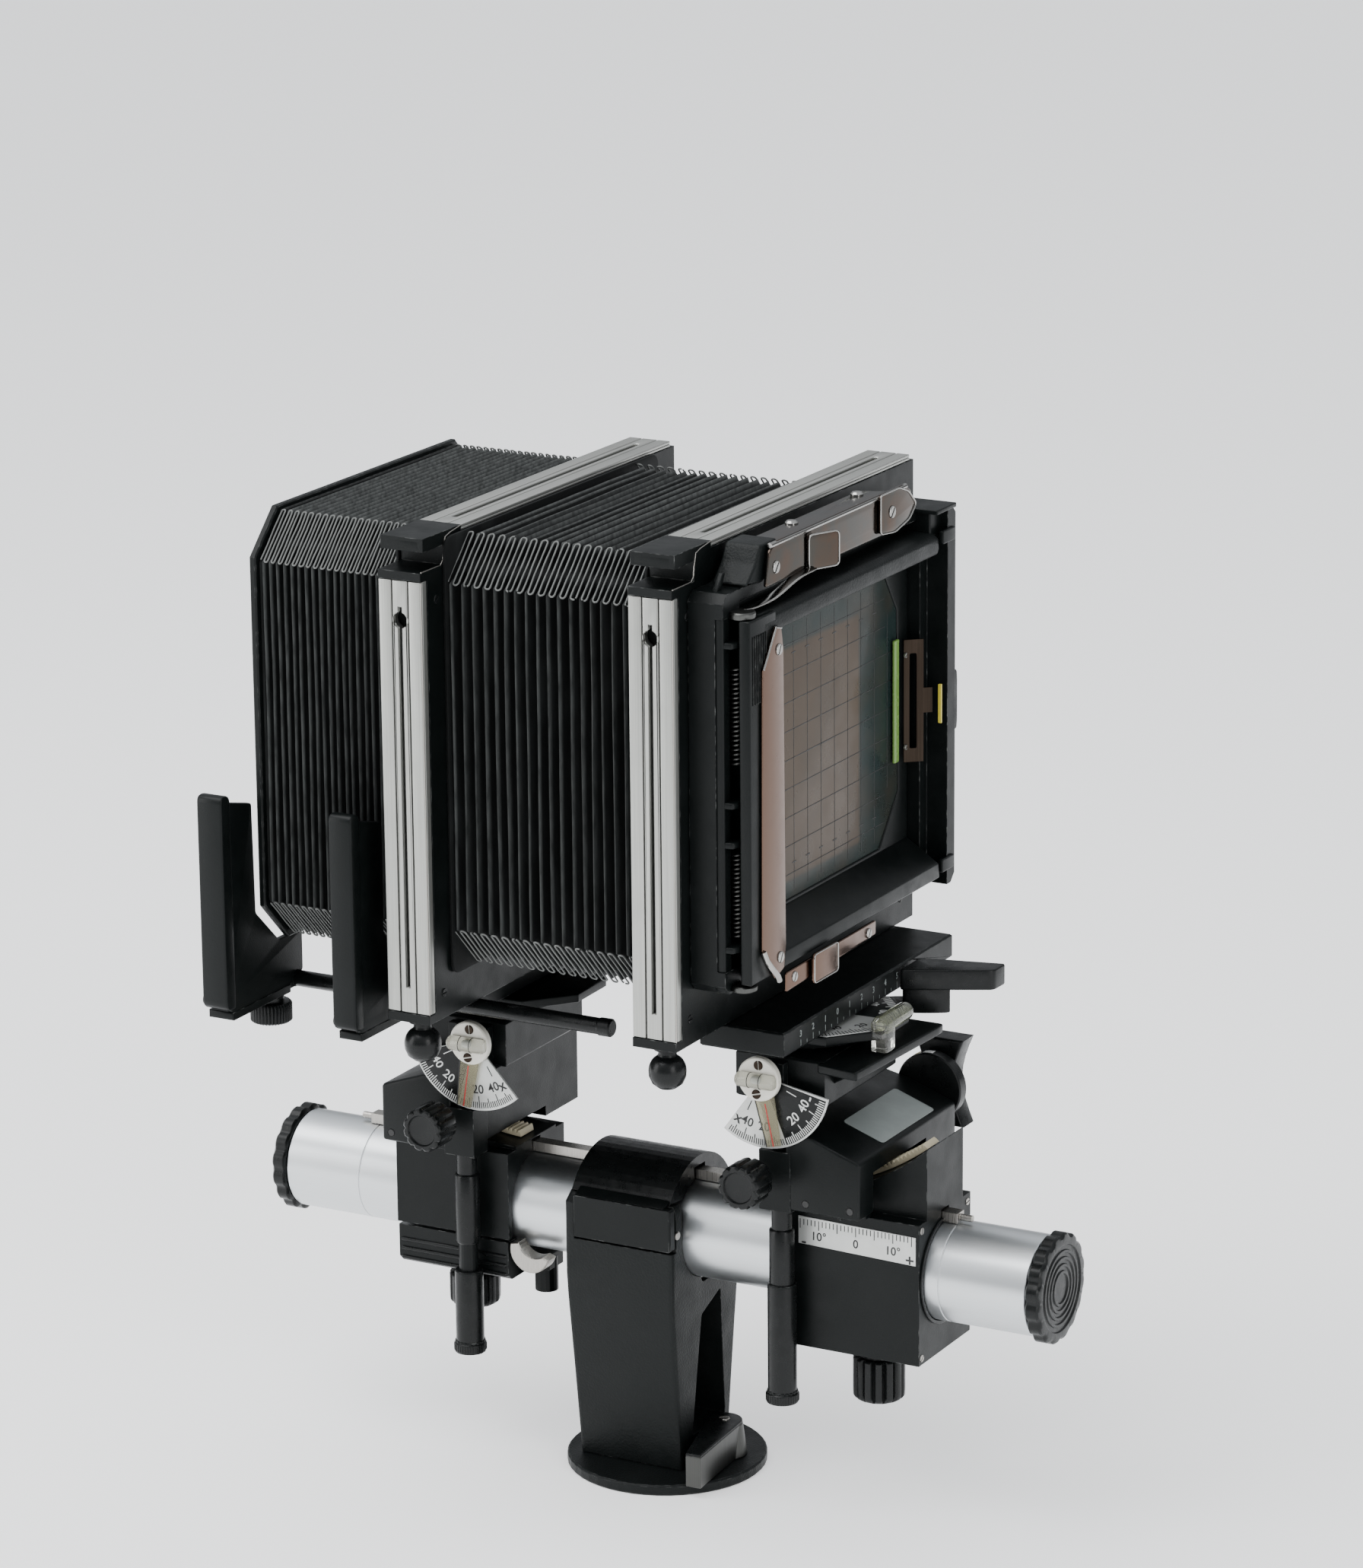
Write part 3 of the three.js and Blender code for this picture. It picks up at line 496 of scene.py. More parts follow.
def turned(name, axis, centre, profile, material, body, slot, sides=48, flutes=0, depth=0.0, sharp=3):
    """A turned piece: (radius, along) pairs round an axis through centre, with finger hollows if asked."""
    sides = flutes * 8 if flutes else sides
    vertices, faces = [], []
    for radius, along, *plain in profile:
        for i in range(sides):
            angle = 2 * math.pi * i / sides
            hollow = (0.5 + 0.5 * math.cos(flutes * angle)) ** sharp * depth if flutes and not plain else 0
            r = max(radius - hollow, 0.001)
            vertices.append(Vector((r * math.cos(angle), r * math.sin(angle), along)))
    count = len(profile)
    for row in range(count - 1):
        for i in range(sides):
            j = (i + 1) % sides
            faces.append((row * sides + i, row * sides + j, (row + 1) * sides + j, (row + 1) * sides + i))
    faces.append(tuple(range(sides))[::-1])
    faces.append(tuple(range((count - 1) * sides, count * sides)))
    turn = AXES[axis]
    if axis == "Y":
        turn = turn @ Matrix.Diagonal((1, 1, -1))
    return piece(name, [turn @ v + Vector(centre) for v in vertices], faces, material, body)


def tube_piece(name, path, radius, material, body, cyclic=False):
    """A round wire along a path."""
    curve = bpy.data.curves.new(name, "CURVE")
    curve.dimensions = "3D"
    curve.bevel_depth = radius * MM
    curve.bevel_resolution = 3
    curve.use_fill_caps = True
    spline = curve.splines.new("POLY")
    spline.points.add(len(path) - 1)
    for target, point in zip(spline.points, path):
        target.co = (*(Vector(point) * MM), 1)
    spline.use_cyclic_u = cyclic
    return finish_piece(name, curve_mesh(name, curve), material, body)


def solid_piece(name, vertices, faces, material, body, bevel=0.6):
    """A block given by its corners, with rounded edges."""
    made = piece(name, vertices, faces, material, None, smooth=False)
    edge = made.modifiers.new("edge", "BEVEL")
    edge.width = bevel * MM
    edge.segments = 3
    edge.limit_method = "ANGLE"
    bpy.context.view_layer.update()
    ready = bpy.data.meshes.new_from_object(made.evaluated_get(bpy.context.evaluated_depsgraph_get()))
    made.modifiers.clear()
    made.data = ready
    ready.shade_smooth()
    ready.set_sharp_from_angle(angle=math.radians(32))
    if body:
        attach(made, body)
    return made


def prism_solid(name, axis, outline, low, high, material, body, bevel=0.6):
    """A block with a straight outline across the axis and rounded edges."""
    turn = AXES[axis]
    shift = {"X": (1, 0, 0), "Y": (0, 1, 0), "Z": (0, 0, 1)}[axis]
    rings = [[turn @ Vector((a, b, 0)) + Vector(shift) * at for a, b in outline] for at in (low, high)]
    count = len(outline)
    faces = [tuple(range(count)), tuple(range(count, 2 * count))[::-1]]
    faces += [(i, (i + 1) % count, count + (i + 1) % count, count + i) for i in range(count)]
    return solid_piece(name, rings[0] + rings[1], faces, material, body, bevel)


class Dial:
    """A flat place for marks and numbers: an origin and two directions along its face."""

    def __init__(self, origin, along, up):
        self.origin, self.along, self.up = Vector(origin), Vector(along).normalized(), Vector(up).normalized()
        self.out = self.along.cross(self.up)

    def at(self, a, b, lift=0.0):
        return self.origin + self.along * a + self.up * b + self.out * lift

    def frame(self, a=0.0, b=0.0):
        face = Matrix((self.along, self.up, self.out)).transposed().to_4x4()
        face.translation = self.at(a, b) * MM
        return face

    def plate(self, name, outline, low, high, material, body, slot, bevel=0.2, holes=()):
        mesh = flat_mesh(name, outline, low, high, bevel, holes)
        mesh.transform(self.frame())
        return finish_piece(name, mesh, material, body)

    def marks(self, name, strokes, width, material, body, slot, thick=0.05):
        """Straight strokes ((a0, b0), (a1, b1)), each a thin raised bar."""
        vertices, faces = [], []
        for (a0, b0), (a1, b1) in strokes:
            run = Vector((a1 - a0, b1 - b0)).normalized() * width / 2
            corners = [(a0 - run.y, b0 + run.x), (a1 - run.y, b1 + run.x),
                       (a1 + run.y, b1 - run.x), (a0 + run.y, b0 - run.x)]
            first = len(vertices)
            vertices += [self.at(a, b, lift) for lift in (-thick, thick) for a, b in corners]
            faces += [tuple(first + k for k in face) for face in (
                (0, 1, 2, 3), (7, 6, 5, 4), (0, 4, 5, 1), (1, 5, 6, 2), (2, 6, 7, 3), (3, 7, 4, 0))]
        return piece(name, vertices, faces, material, body, smooth=False)

    def text(self, name, words, size, a, b, material, body, slot, turn=0.0, thick=0.05):
        curve = bpy.data.curves.new(name, "FONT")
        curve.body = words
        curve.size = size * MM
        curve.align_x = "CENTER"
        curve.align_y = "CENTER"
        curve.extrude = thick * MM
        curve.offset = 0.012 * size * MM
        curve.resolution_u = 3
        mesh = curve_mesh(name, curve)
        mesh.transform(self.frame(a, b) @ Matrix.Rotation(math.radians(turn), 4, "Z"))
        return finish_piece(name, mesh, material, body, smooth=False)


def screw(name, centre, axis, out, radius, material, body, turn=20.0):
    """A slotted screw head that stands a little out of its face along out (+1 or -1)."""
    groove, deep = radius * 0.16, radius * 0.35
    rim = ring(0, 0, radius, 28)
    vertices, faces = [], []
    for half in (1, -1):
        limit = math.asin(groove / radius)
        arc = [limit + (math.pi - 2 * limit) * i / 12 for i in range(13)]
        outline = [(radius * math.cos(t), half * radius * math.sin(t)) for t in arc]
        first = len(vertices)
        for r, lift in ((1, -radius * 0.5), (1, radius * 0.1), (0.9, radius * 0.22)):
            for a, b in outline:
                edge = half * max(abs(b) * r, groove)
                vertices.append((a * r, edge, lift))
        count = len(outline)
        for row in (0, 1):
            for i in range(count):
                j = (i + 1) % count
                faces.append((first + row * count + i, first + row * count + j,
                              first + (row + 1) * count + j, first + (row + 1) * count + i))
        faces.append(tuple(first + 2 * count + i for i in range(count)))
        faces.append(tuple(first + i for i in range(count)))
    first = len(vertices)
    vertices += [(a, b, lift) for lift in (-deep - 0.1, -deep) for a, b in rim]
    count = len(rim)
    faces += [tuple(first + i for i in range(count)), tuple(first + count + i for i in range(count))]
    faces += [(first + i, first + (i + 1) % count, first + count + (i + 1) % count,
               first + count + i) for i in range(count)]
    spin = Matrix.Rotation(math.radians(turn), 3, "Z")
    flip = Matrix.Diagonal((1, 1, out if axis != "Y" else -out))
    place = AXES[axis] @ flip @ spin
    return piece(name, [place @ Vector(v) + Vector(centre) for v in vertices], faces, material, body)


# ---- bellows ----
class BellowsShape:
    """A square bellows with cut corners: its side folds and top folds are half a pitch apart."""

    def __init__(self, x0, x1, folds, depth, seed):
        node = Box("main_bellows")
        self.x0, self.x1, self.folds, self.depth, self.seed = x0, x1, folds, depth, seed
        self.pitch = (x1 - x0) / folds
        self.half_y, self.low, self.high = node.y1, node.z0, node.z1
        self.cut = 15.0
        self.steps = 8
        self.edge = 0.32
        self.outline = self.make_outline()

    def make_outline(self):
        """Points round the section: (y, z, inward y, inward z, how much it is a top fold)."""
        h, low, high, c = self.half_y, self.low, self.high, self.cut
        runs = [
            ((-h, low + c), (-h, high - c), (1, 0), (1, 0), 0, 0, 26),
            ((-h, high - c), (-h + c, high), (1, 0), (0, -1), 0, 1, 8),
            ((-h + c, high), (h - c, high), (0, -1), (0, -1), 1, 1, 22),
            ((h - c, high), (h, high - c), (0, -1), (-1, 0), 1, 0, 8),
            ((h, high - c), (h, low + c), (-1, 0), (-1, 0), 0, 0, 26),
            ((h, low + c), (h - c, low), (-1, 0), (0, 1), 0, 1, 8),
            ((h - c, low), (-h + c, low), (0, 1), (0, 1), 1, 1, 22),
            ((-h + c, low), (-h, low + c), (0, 1), (1, 0), 1, 0, 8),
        ]
        ring = []
        for (y0, z0), (y1, z1), n0, n1, t0, t1, count in runs:
            for i in range(count):
                t = i / count
                ring.append((
                    y0 + (y1 - y0) * t, z0 + (z1 - z0) * t,
                    n0[0] + (n1[0] - n0[0]) * t, n0[1] + (n1[1] - n0[1]) * t,
                    t0 + (t1 - t0) * t,
                ))
        return ring

    def fold(self, phase):
        """How far in the cloth is at a phase: 0 at a ridge and 1 at a valley, with round ridges."""
        t = abs((phase % 1) - 0.5) * 2
        return 0.5 + 0.65 * (t - 0.5) - 0.175 * math.cos(math.pi * t)

    def point(self, x, ring_point):
        y, z, ny, nz, top = ring_point
        phase = (x - self.x0) / self.pitch
        inward = self.fold(phase) * (1 - top) + self.fold(phase + 0.5) * top
        rough = noise.noise(Vector((x * 0.05, y * 0.03 + self.seed, z * 0.03)))
        wave = noise.noise(Vector((phase * 0.9, y * 0.012, z * 0.012 + self.seed * 3)))
        drop = inward * self.depth + 0.35 * abs(rough)
        ends = min(1, (x - self.x0) / 2, (self.x1 - x) / 2)
        return (x + 0.45 * wave * ends, y + ny * drop, z + nz * drop)

    # how much a fold ridge is lightened, for rubbed cloth and a painted highlight
    def wear(self, x, ring_point):
        phase = (x - self.x0) / self.pitch
        top = ring_point[4]
        inward = self.fold(phase) * (1 - top) + self.fold(phase + 0.5) * top
        return max(0.0, 1 - inward / 0.16) if top in (0, 1) else 0.0

    def corner_lines(self, x_from, x_to):
        """The light edges of the cloth, which wind back and forth over each cut corner."""
        h, low, high, c = self.half_y, self.low, self.high, self.cut
        corners = [
            ((-h, high - c), (-h + c, high)), ((h, high - c), (h - c, high)),
            ((-h, low + c), (-h + c, low)), ((h, low + c), (h - c, low)),
        ]
        turn = self.pitch / 4
        lines = []
        for side, top in corners:
            side, top = Vector(side), Vector(top)
            reach = (top - side).length
            run = []
            for i in range(self.folds * 2):
                xa = self.x0 + (i + 0.5) * self.pitch / 2
                ends = (turn, reach - turn) if i % 2 == 0 else (reach - turn, turn)
                for k in range(7):
                    run.append((xa, ends[0] + (ends[1] - ends[0]) * k / 6))
                sign = 1 if i % 2 == 0 else -1
                for k in range(1, 6):
                    angle = math.pi * k / 6
                    run.append((xa + turn * (1 - math.cos(angle)), ends[1] + sign * turn * math.sin(angle)))
            placed = []
            for x, along in run:
                if not x_from <= x <= x_to:
                    continue
                spot = side + (top - side) * (along / reach)
                shake = noise.noise(Vector((x * 0.8, along * 0.12, self.seed + side.x)))
                placed.append((x + 0.3 * shake, spot.x, spot.y))
            lines.append(placed)
        return lines


def bellows_piece(shape, name, x_from, x_to):
    """The stretch of a bellows between two places along the rail."""
    columns = max(2, round((x_to - x_from) / shape.pitch * shape.steps))
    xs = [x_from + (x_to - x_from) * i / columns for i in range(columns + 1)]
    ring = shape.outline
    vertices = [shape.point(x, p) for x in xs for p in ring]
    wear = [shape.wear(x, p) for x in xs for p in ring]
    faces = []
    for i in range(columns):
        for k in range(len(ring)):
            after = (k + 1) % len(ring)
            a, b = i * len(ring), (i + 1) * len(ring)
            faces.append((a + k, b + k, b + after, a + after))
    mesh = bpy.data.meshes.new(name)
    mesh.from_pydata([Vector(v) * MM for v in vertices], [], faces)
    mesh.attributes.new("wear", "FLOAT", "POINT").data.foreach_set("value", wear)
    mesh.materials.append(BELLOWS)
    mesh.materials.append(FOLD_EDGE)
    built = bmesh.new()
    built.from_mesh(mesh)
    for line in shape.corner_lines(x_from, x_to):
        add_ribbon(built, line, shape.edge)
    built.to_mesh(mesh)
    built.free()
    mesh.shade_smooth()
    made = bpy.data.objects.new(name, mesh)
    bpy.context.collection.objects.link(made)
    return made


def add_ribbon(built, line, radius, sides=5):
    """Adds a thin round cord along a list of places, in the second material."""
    if len(line) < 3:
        return
    points = [Vector(p) for p in line]
    rows = []
    for i, point in enumerate(points):
        run = (points[min(i + 1, len(points) - 1)] - points[max(i - 1, 0)]).normalized()
        side = run.orthogonal().normalized()
        other = run.cross(side)
        loop = []
        for k in range(sides):
            angle = 2 * math.pi * k / sides
            loop.append(built.verts.new((point + (side * math.cos(angle) + other * math.sin(angle)) * radius)
                                        * MM))
        rows.append(loop)
    for first, second in zip(rows, rows[1:]):
        near = min(range(sides), key=lambda k: (second[k].co - first[0].co).length)
        for k in range(sides):
            after = (k + 1) % sides
            face = built.faces.new((first[k], first[after], second[(after + near) % sides],
                                    second[(k + near) % sides]))
            face.material_index = 1
            face.smooth = True


def make_bellows():
    """Both bellows, with a ring at each end: the main bellows in one stretch for each joint's share of the
    cloth.
    """
    front, rear = Box("front_frame"), Box("rear_frame")
    main = BellowsShape(front.x1 + 0.3, rear.x0 - 0.3, 19, 9.5, 1.0)
    hood = BellowsShape(Box("hood_front_plate").x1 + 0.3, front.x0 - 0.3, 20, 9.5, 7.0)
    middle = (main.x0 + main.x1) / 2
    # each joint's share of half the cloth: the last two together outlast the cloth's edge in a swing
    shares = {"carriage": 0.28, "cradle": 0.08, "lift": 0.15, "bearer": 0.27, "table": 0.08, "standard": 0.14}
    for side, end in (("front", main.x0), ("rear", main.x1)):
        start, before = middle, "rail"
        for part, share in shares.items():
            stop = start + (end - middle) * share
            made = bellows_piece(main, f"{side}_bellows_{part}", min(start, stop), max(start, stop))
            body = f"{side}_{part}"
            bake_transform(made)
            if part == "carriage":
                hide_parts("main_bellows")
            start, before = stop, body
    node = Box("main_bellows")
    for name, shape, x, step, body in (
        ("main_front_ring", main, main.x0, 1, "front_standard"),
                                       ("main_rear_ring", main, main.x1, -1, "rear_standard"),
        ("hood_rear_ring", hood, hood.x1, -1, "front_standard"),
                                       ("hood_front_ring", hood, hood.x0, 1, "hood"),
    ):
        outer = rectangle(node.y0 - 1, node.y1 + 1, node.z0 - 1, node.z1 + 1, 5)
        if body == "hood":
            outer = octagon(node.y1 - 0.4, node.z0 + 0.4, node.z1 - 0.4, shape.cut)
        inner = octagon(node.y1 - 12, node.z0 + 12, node.z1 - 12, 8)
        span = sorted((x, x + step * 1.1))
        plate_piece(name, "X", outer, *span, BELLOWS, body, "bellows_leather", 0.3, [inner])
    made = bellows_piece(hood, "hood_folds", hood.x0, hood.x1)
    start, end = [(x * MM, 0, LIGHT_PATH) for x in (hood.x1, hood.x0)]
    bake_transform(made)
    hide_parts("hood_bellows")


# ---- bright strips and corners of the two frames ----
def keyed_slot(across, low, high, half=1.1, round_hole=3.1, notch=3.0):
    """A long slot that opens into a round keyhole with a notch above it."""
    rise = math.sqrt(round_hole ** 2 - half ** 2)
    lean = math.degrees(math.asin(half / round_hole))
    left = ring(across, high, round_hole, 10, -90 - lean, -180 + 2 * lean)
    right = ring(across, high, round_hole, 10, 90 - lean, -180 + 2 * lean)
    top = high + rise + notch - 1
    return [(across - half, low), *left, (across - half, top), (across + half, top), *right,
            (across + half, low)]


def strip_pieces(side, name, axis, across, along, depth, slot_hole, screws, material):
    """Three bright bars on a channel: a lip, the slotted middle and a guard, with painted shadow in the gaps
    between them.
    """
    body, slot = f"{side}_standard", "satin_strip"
    low, high = depth
    out = 1 if axis == "Z" else -1
    face, back = (high, low) if out > 0 else (low, high)
    seat = face - out * 1.2
    span = sorted((back, seat))
    outline = rectangle(across, across + 16.4, *along)
    channel = plate_piece(f"{name}_channel", axis, outline, *span, material, body, slot, 0.2, [slot_hole])
    bars = (("lip", 0.1, 4.9, ()), ("rail", 5.4, 11.1, [slot_hole]), ("guard", 11.6, 16.3, ()))
    for bar, start, end, holes in bars:
        span = sorted((seat + out * 0.02, face))
        outline = rectangle(across + start, across + end, *along)
        plate_piece(f"{name}_{bar}", axis, outline, *span, material, body, slot, 0.35, holes)
    # dark strips laid in the gaps between the bars: painted shadow
    for number, start in enumerate((4.9, 11.1)):
        span = sorted((seat + out * 0.02, seat + out * 0.12))
        outline = rectangle(across + start + 0.05, across + start + 0.45, *along)
        plate_piece(f"{name}_groove_{number}", axis, outline, *span, MARKS, body, "black_paint", 0.02)
    for number, place in enumerate(screws):
        face = seat - out * 0.15
        centre = (across + 8.25, face, place) if axis == "Y" else (across + 8.25, place, face)
        screw(f"{name}_screw_{number}", centre, axis, out, 1.9, STEEL, body, 70 + 50 * number)
    return channel


def make_strips(side):
    """The bright side strip and top strip of a frame."""
    node = Box(f"{side}_side_strip")
    slot_hole = keyed_slot(node.x0 + 8.25, node.z0 + 8.5, node.z1 - 13.5)
    made = strip_pieces(side, f"{side}_strip", "Y", node.x0, (node.z0, node.z1), (node.y0, node.y1),
                        slot_hole, (node.z0 + 4, node.z1 - 4), STRIP_Z)
    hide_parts(f"{side}_side_strip")
    node = Box(f"{side}_top_strip")
    slot_hole = rounded([(node.x0 + 7.15, node.y0 + 9), (node.x0 + 9.35, node.y0 + 9),
                         (node.x0 + 9.35, node.y1 - 9), (node.x0 + 7.15, node.y1 - 9)], 1.0)
    made = strip_pieces(side, f"{side}_top", "Z", node.x0, (node.y0, node.y1), (node.z0, node.z1),
                        slot_hole, (node.y1 - 4,), STRIP_Y)
    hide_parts(f"{side}_top_strip")


def make_frame_trim(side):
    """The corner cap's lines, the worn edge of the rear plate, and the small screws of a frame."""
    body = f"{side}_standard"
    node, strip, top = Box(f"{side}_frame"), Box(f"{side}_side_strip"), Box(f"{side}_top_strip")
    ledge = strip.z1 + 3.4
    x = node.x1 + 0.05
    bend = [(-87.6, ledge), (-75, ledge), (-73.2, ledge + 1.6), (-72.8, ledge + 5), (-71.6, ledge + 9),
            (-68.5, node.z1 - 1.2), (top.y0, node.z1 - 0.2)]
    tube_piece(f"{side}_worn_edge", [(x, y, z) for y, z in bend], 0.22, STEEL, body)
    tube_piece(f"{side}_worn_side", [(x, -87.8, strip.z0), (x, -87.8, strip.z1)], 0.18, STEEL, body)
    cap = rounded([(node.x0, -86), (node.x1 - 0.4, -86), (node.x1 - 0.4, top.y0 - 0.2),
                   (node.x0, top.y0 - 0.2)], 1.6)
    plate_piece(f"{side}_corner_cap", "Z", cap, node.z1 - 4.4, node.z1 - 0.3, BLACK, body, "black_paint", 0.9)
    groove = [(node.x0 + 5.2, y, node.z1 - 0.38) for y in (-85.5, top.y0 - 0.6)]
    tube_piece(f"{side}_cap_groove", groove, 0.35, MARKS, body)
    lid = rectangle(node.x0 + 0.2, node.x1 - 0.2, -87.9, -74, 0.8)
    plate_piece(f"{side}_strip_lid", "Z", lid, strip.z1 + 0.2, strip.z1 + 3.2, BLACK, body, "black_paint",
                0.6)
    plate_piece(f"{side}_strip_foot", "Z", lid, node.z0 + 0.1, strip.z0 - 0.1, BLACK, body, "black_paint",
                0.6)
    lip = [(node.x1 - 0.4, -84, node.z0 + 8), (node.x1 - 0.4, -84, strip.z1)]
    tube_piece(f"{side}_plate_lip", lip, 0.5, BLACK, body)
    for number, (y,
                 z) in enumerate(((-78, node.z0 + 9), (-78, node.z1 - 22), (78, node.z0 + 9),
                                  (78, node.z1 - 22))):
        screw(f"{side}_frame_screw_{number}", (node.x1, y, z), "X", 1, 1.5, PLASTIC, body,
              30 * number)
        screw(f"{side}_face_screw_{number}", (node.x0, y, z), "X", -1, 1.5, PLASTIC, body,
              30 * number)


# ---- levels, fan scales, knobs and lift tubes ----
FAN_REACH, FAN_HALF = 25.5, 58


def fan_sector(cx, cz, lean, start, end, reach, inner=6.0):
    """A sector below a pivot, its angles in degrees from the fan's middle line."""
    arc = ring(cx, cz, reach, 25, -90 + lean + start, end - start)
    return arc + ring(cx, cz, inner, 8, -90 + lean + end, start - end)


def polar(cx, cz, lean, degrees, reach):
    """A place on a fan scale, so many degrees from its middle line."""
    angle = math.radians(-90 + lean + degrees)
    return (cx + reach * math.cos(angle), cz + reach * math.sin(angle))


def make_fan(side, lean):
    """The base tilt scale: half bright and half black, with numbers that follow the arc."""
    fan, level = Box(f"{side}_fan_scale"), PIVOT[f"{side}_base_tilt"]
    cx, cz, body = level.x, level.z, f"{side}_lift"
    dark = (0, FAN_HALF) if side == "rear" else (-FAN_HALF, 0)
    made = plate_piece(f"{side}_fan_plate", "Y", fan_sector(cx, cz, lean, -FAN_HALF, FAN_HALF, FAN_REACH),
                       fan.y0, fan.y1, SILVER, body, "scale_plate", 0.15)
    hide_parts(f"{side}_fan_scale")
    trim = 2.2 if side == "rear" else 0
    inset = fan_sector(cx, cz, lean, dark[0] + (1 if side == "front" else 0), dark[1] - trim, FAN_REACH - 0.7)
    plate_piece(f"{side}_fan_black", "Y", inset, fan.y0 - 0.12, fan.y0 + 0.1, PLASTIC, body, "black_plastic",
                0.03)
    for half, color, lift, tone in (("dark", WHITE, 0.14, dark),
                                    ("light", MARKS, 0.02, (-dark[1], -dark[0]))):
        face = Dial((0, fan.y0 - lift, 0), (1, 0, 0), (0, 0, 1))
        strokes = []
        for degrees in range(-54, 55, 2):
            if tone[0] <= degrees <= tone[1] and degrees != 0:
                inner = 20.2 if degrees % 20 == 0 else (21.2 if degrees % 10 == 0 else 22.4)
                strokes.append((polar(cx, cz, lean, degrees, inner), polar(cx, cz, lean, degrees, 24.6)))
        edge = tone[0] * 0.8 + tone[1] * 0.8
        strokes.append((polar(cx, cz, lean, edge, 10), polar(cx, cz, lean, edge, 14)))
        face.marks(f"{side}_fan_{half}_ticks", strokes, 0.34, color, body, "scale_plate", 0.04)
        sign = 1 if tone[1] > 0 else -1
        for number, degrees in (("20", 20), ("40", 41)):
            a, b = polar(cx, cz, lean, sign * degrees, 17.8)
            face.text(f"{side}_fan_{half}_{number}", number, 4.6, a, b, color, body, "scale_plate",
                      lean + sign * degrees, 0.04)
        a, b = polar(cx, cz, lean, sign * 52, 18.6)
        sign_text = "x" if half == "light" else "-"
        face.text(f"{side}_fan_{half}_sign", sign_text, 5.5, a, b, color, body, "scale_plate",
                  lean + sign * 52, 0.06)


def make_level(side, lean):
    """The pointer of the base tilt scale, and the round level with its vial."""
    pivot = PIVOT[f"{side}_base_tilt"]
    cx, cz, body = pivot.x, pivot.z, f"{side}_bearer"
    point = lean * 0.55
    tip, root = polar(cx, cz, point, 0, 24.3), polar(cx, cz, point, 0, 4)
    aside = Vector((tip[1] - root[1], root[0] - tip[0])).normalized()
    corners = [(root[0] - aside.x * 3.8, root[1] - aside.y * 3.8),
               (tip[0] - aside.x * 2.6, tip[1] - aside.y * 2.6),
               (tip[0] + aside.x * 2.6, tip[1] + aside.y * 2.6),
               (root[0] + aside.x * 3.8, root[1] + aside.y * 3.8)]
    made = plate_piece(f"{side}_pointer", "Y", corners, -34.0, -33.1, AMBER, body, "clear_acrylic", 0.15)
    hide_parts(f"{side}_level")
    dial = Dial((0, -34.05, 0), (1, 0, 0), (0, 0, 1))
    dial.marks(f"{side}_pointer_line", [(polar(cx, cz, point, 0, 9), tip)], 0.45, RED, body, "scale_plate",
               0.05)
    edge = [(corners[3], corners[2])]
    dial.marks(f"{side}_pointer_edge", edge, 0.35, MARKS, body, "scale_plate", 0.05)
    disc = [(7.8, 0), (7.8, -2.0), (7.4, -2.5), (6.9, -2.6)]
    turned(f"{side}_level_disc", "Y", (cx, -33.3, cz), disc, CREAM, body, "clear_acrylic")
    vial = [(1.9, -7.25), (2.5, -6.6), (2.6, -6.2), (2.6, 6.2), (2.5, 6.6), (1.9, 7.25)]
    turned(f"{side}_vial", "X", (cx, -37.2, cz), vial, CLEAR, body, "clear_acrylic", 24)
    cradle = rectangle(cx - 6.6, cx + 6.6, cz - 2.5, cz + 2.5, 1.0)
    plate_piece(f"{side}_vial_seat", "Y", cradle, -36.6, -35.6, CREAM, body, "clear_acrylic", 0.4)
    bubble = [(0.3, -1.9), (1.0, -1.5), (1.2, 0), (1.0, 1.5), (0.3, 1.9)]
    turned(f"{side}_bubble", "X", (cx + 0.6, -37.9, cz + 0.5), bubble, WHITE, body, "clear_acrylic", 16)
    for number, at in enumerate((-2.2, 2.2)):
        loop = [(cx + at, -37.2 + 2.64 * math.cos(t), cz + 2.64 * math.sin(t)) for t in
                [2 * math.pi * k / 24 for k in range(24)]]
        tube_piece(f"{side}_vial_line_{number}", loop, 0.14, MARKS, body, True)
    for number, rise in enumerate((-5.2, 5.2)):
        centre = (cx + rise * 0.08, -35.95, cz + rise)
        screw(f"{side}_level_screw_{number}", centre, "Y", -1, 1.7, RUST, body,
              15 + 80 * number)


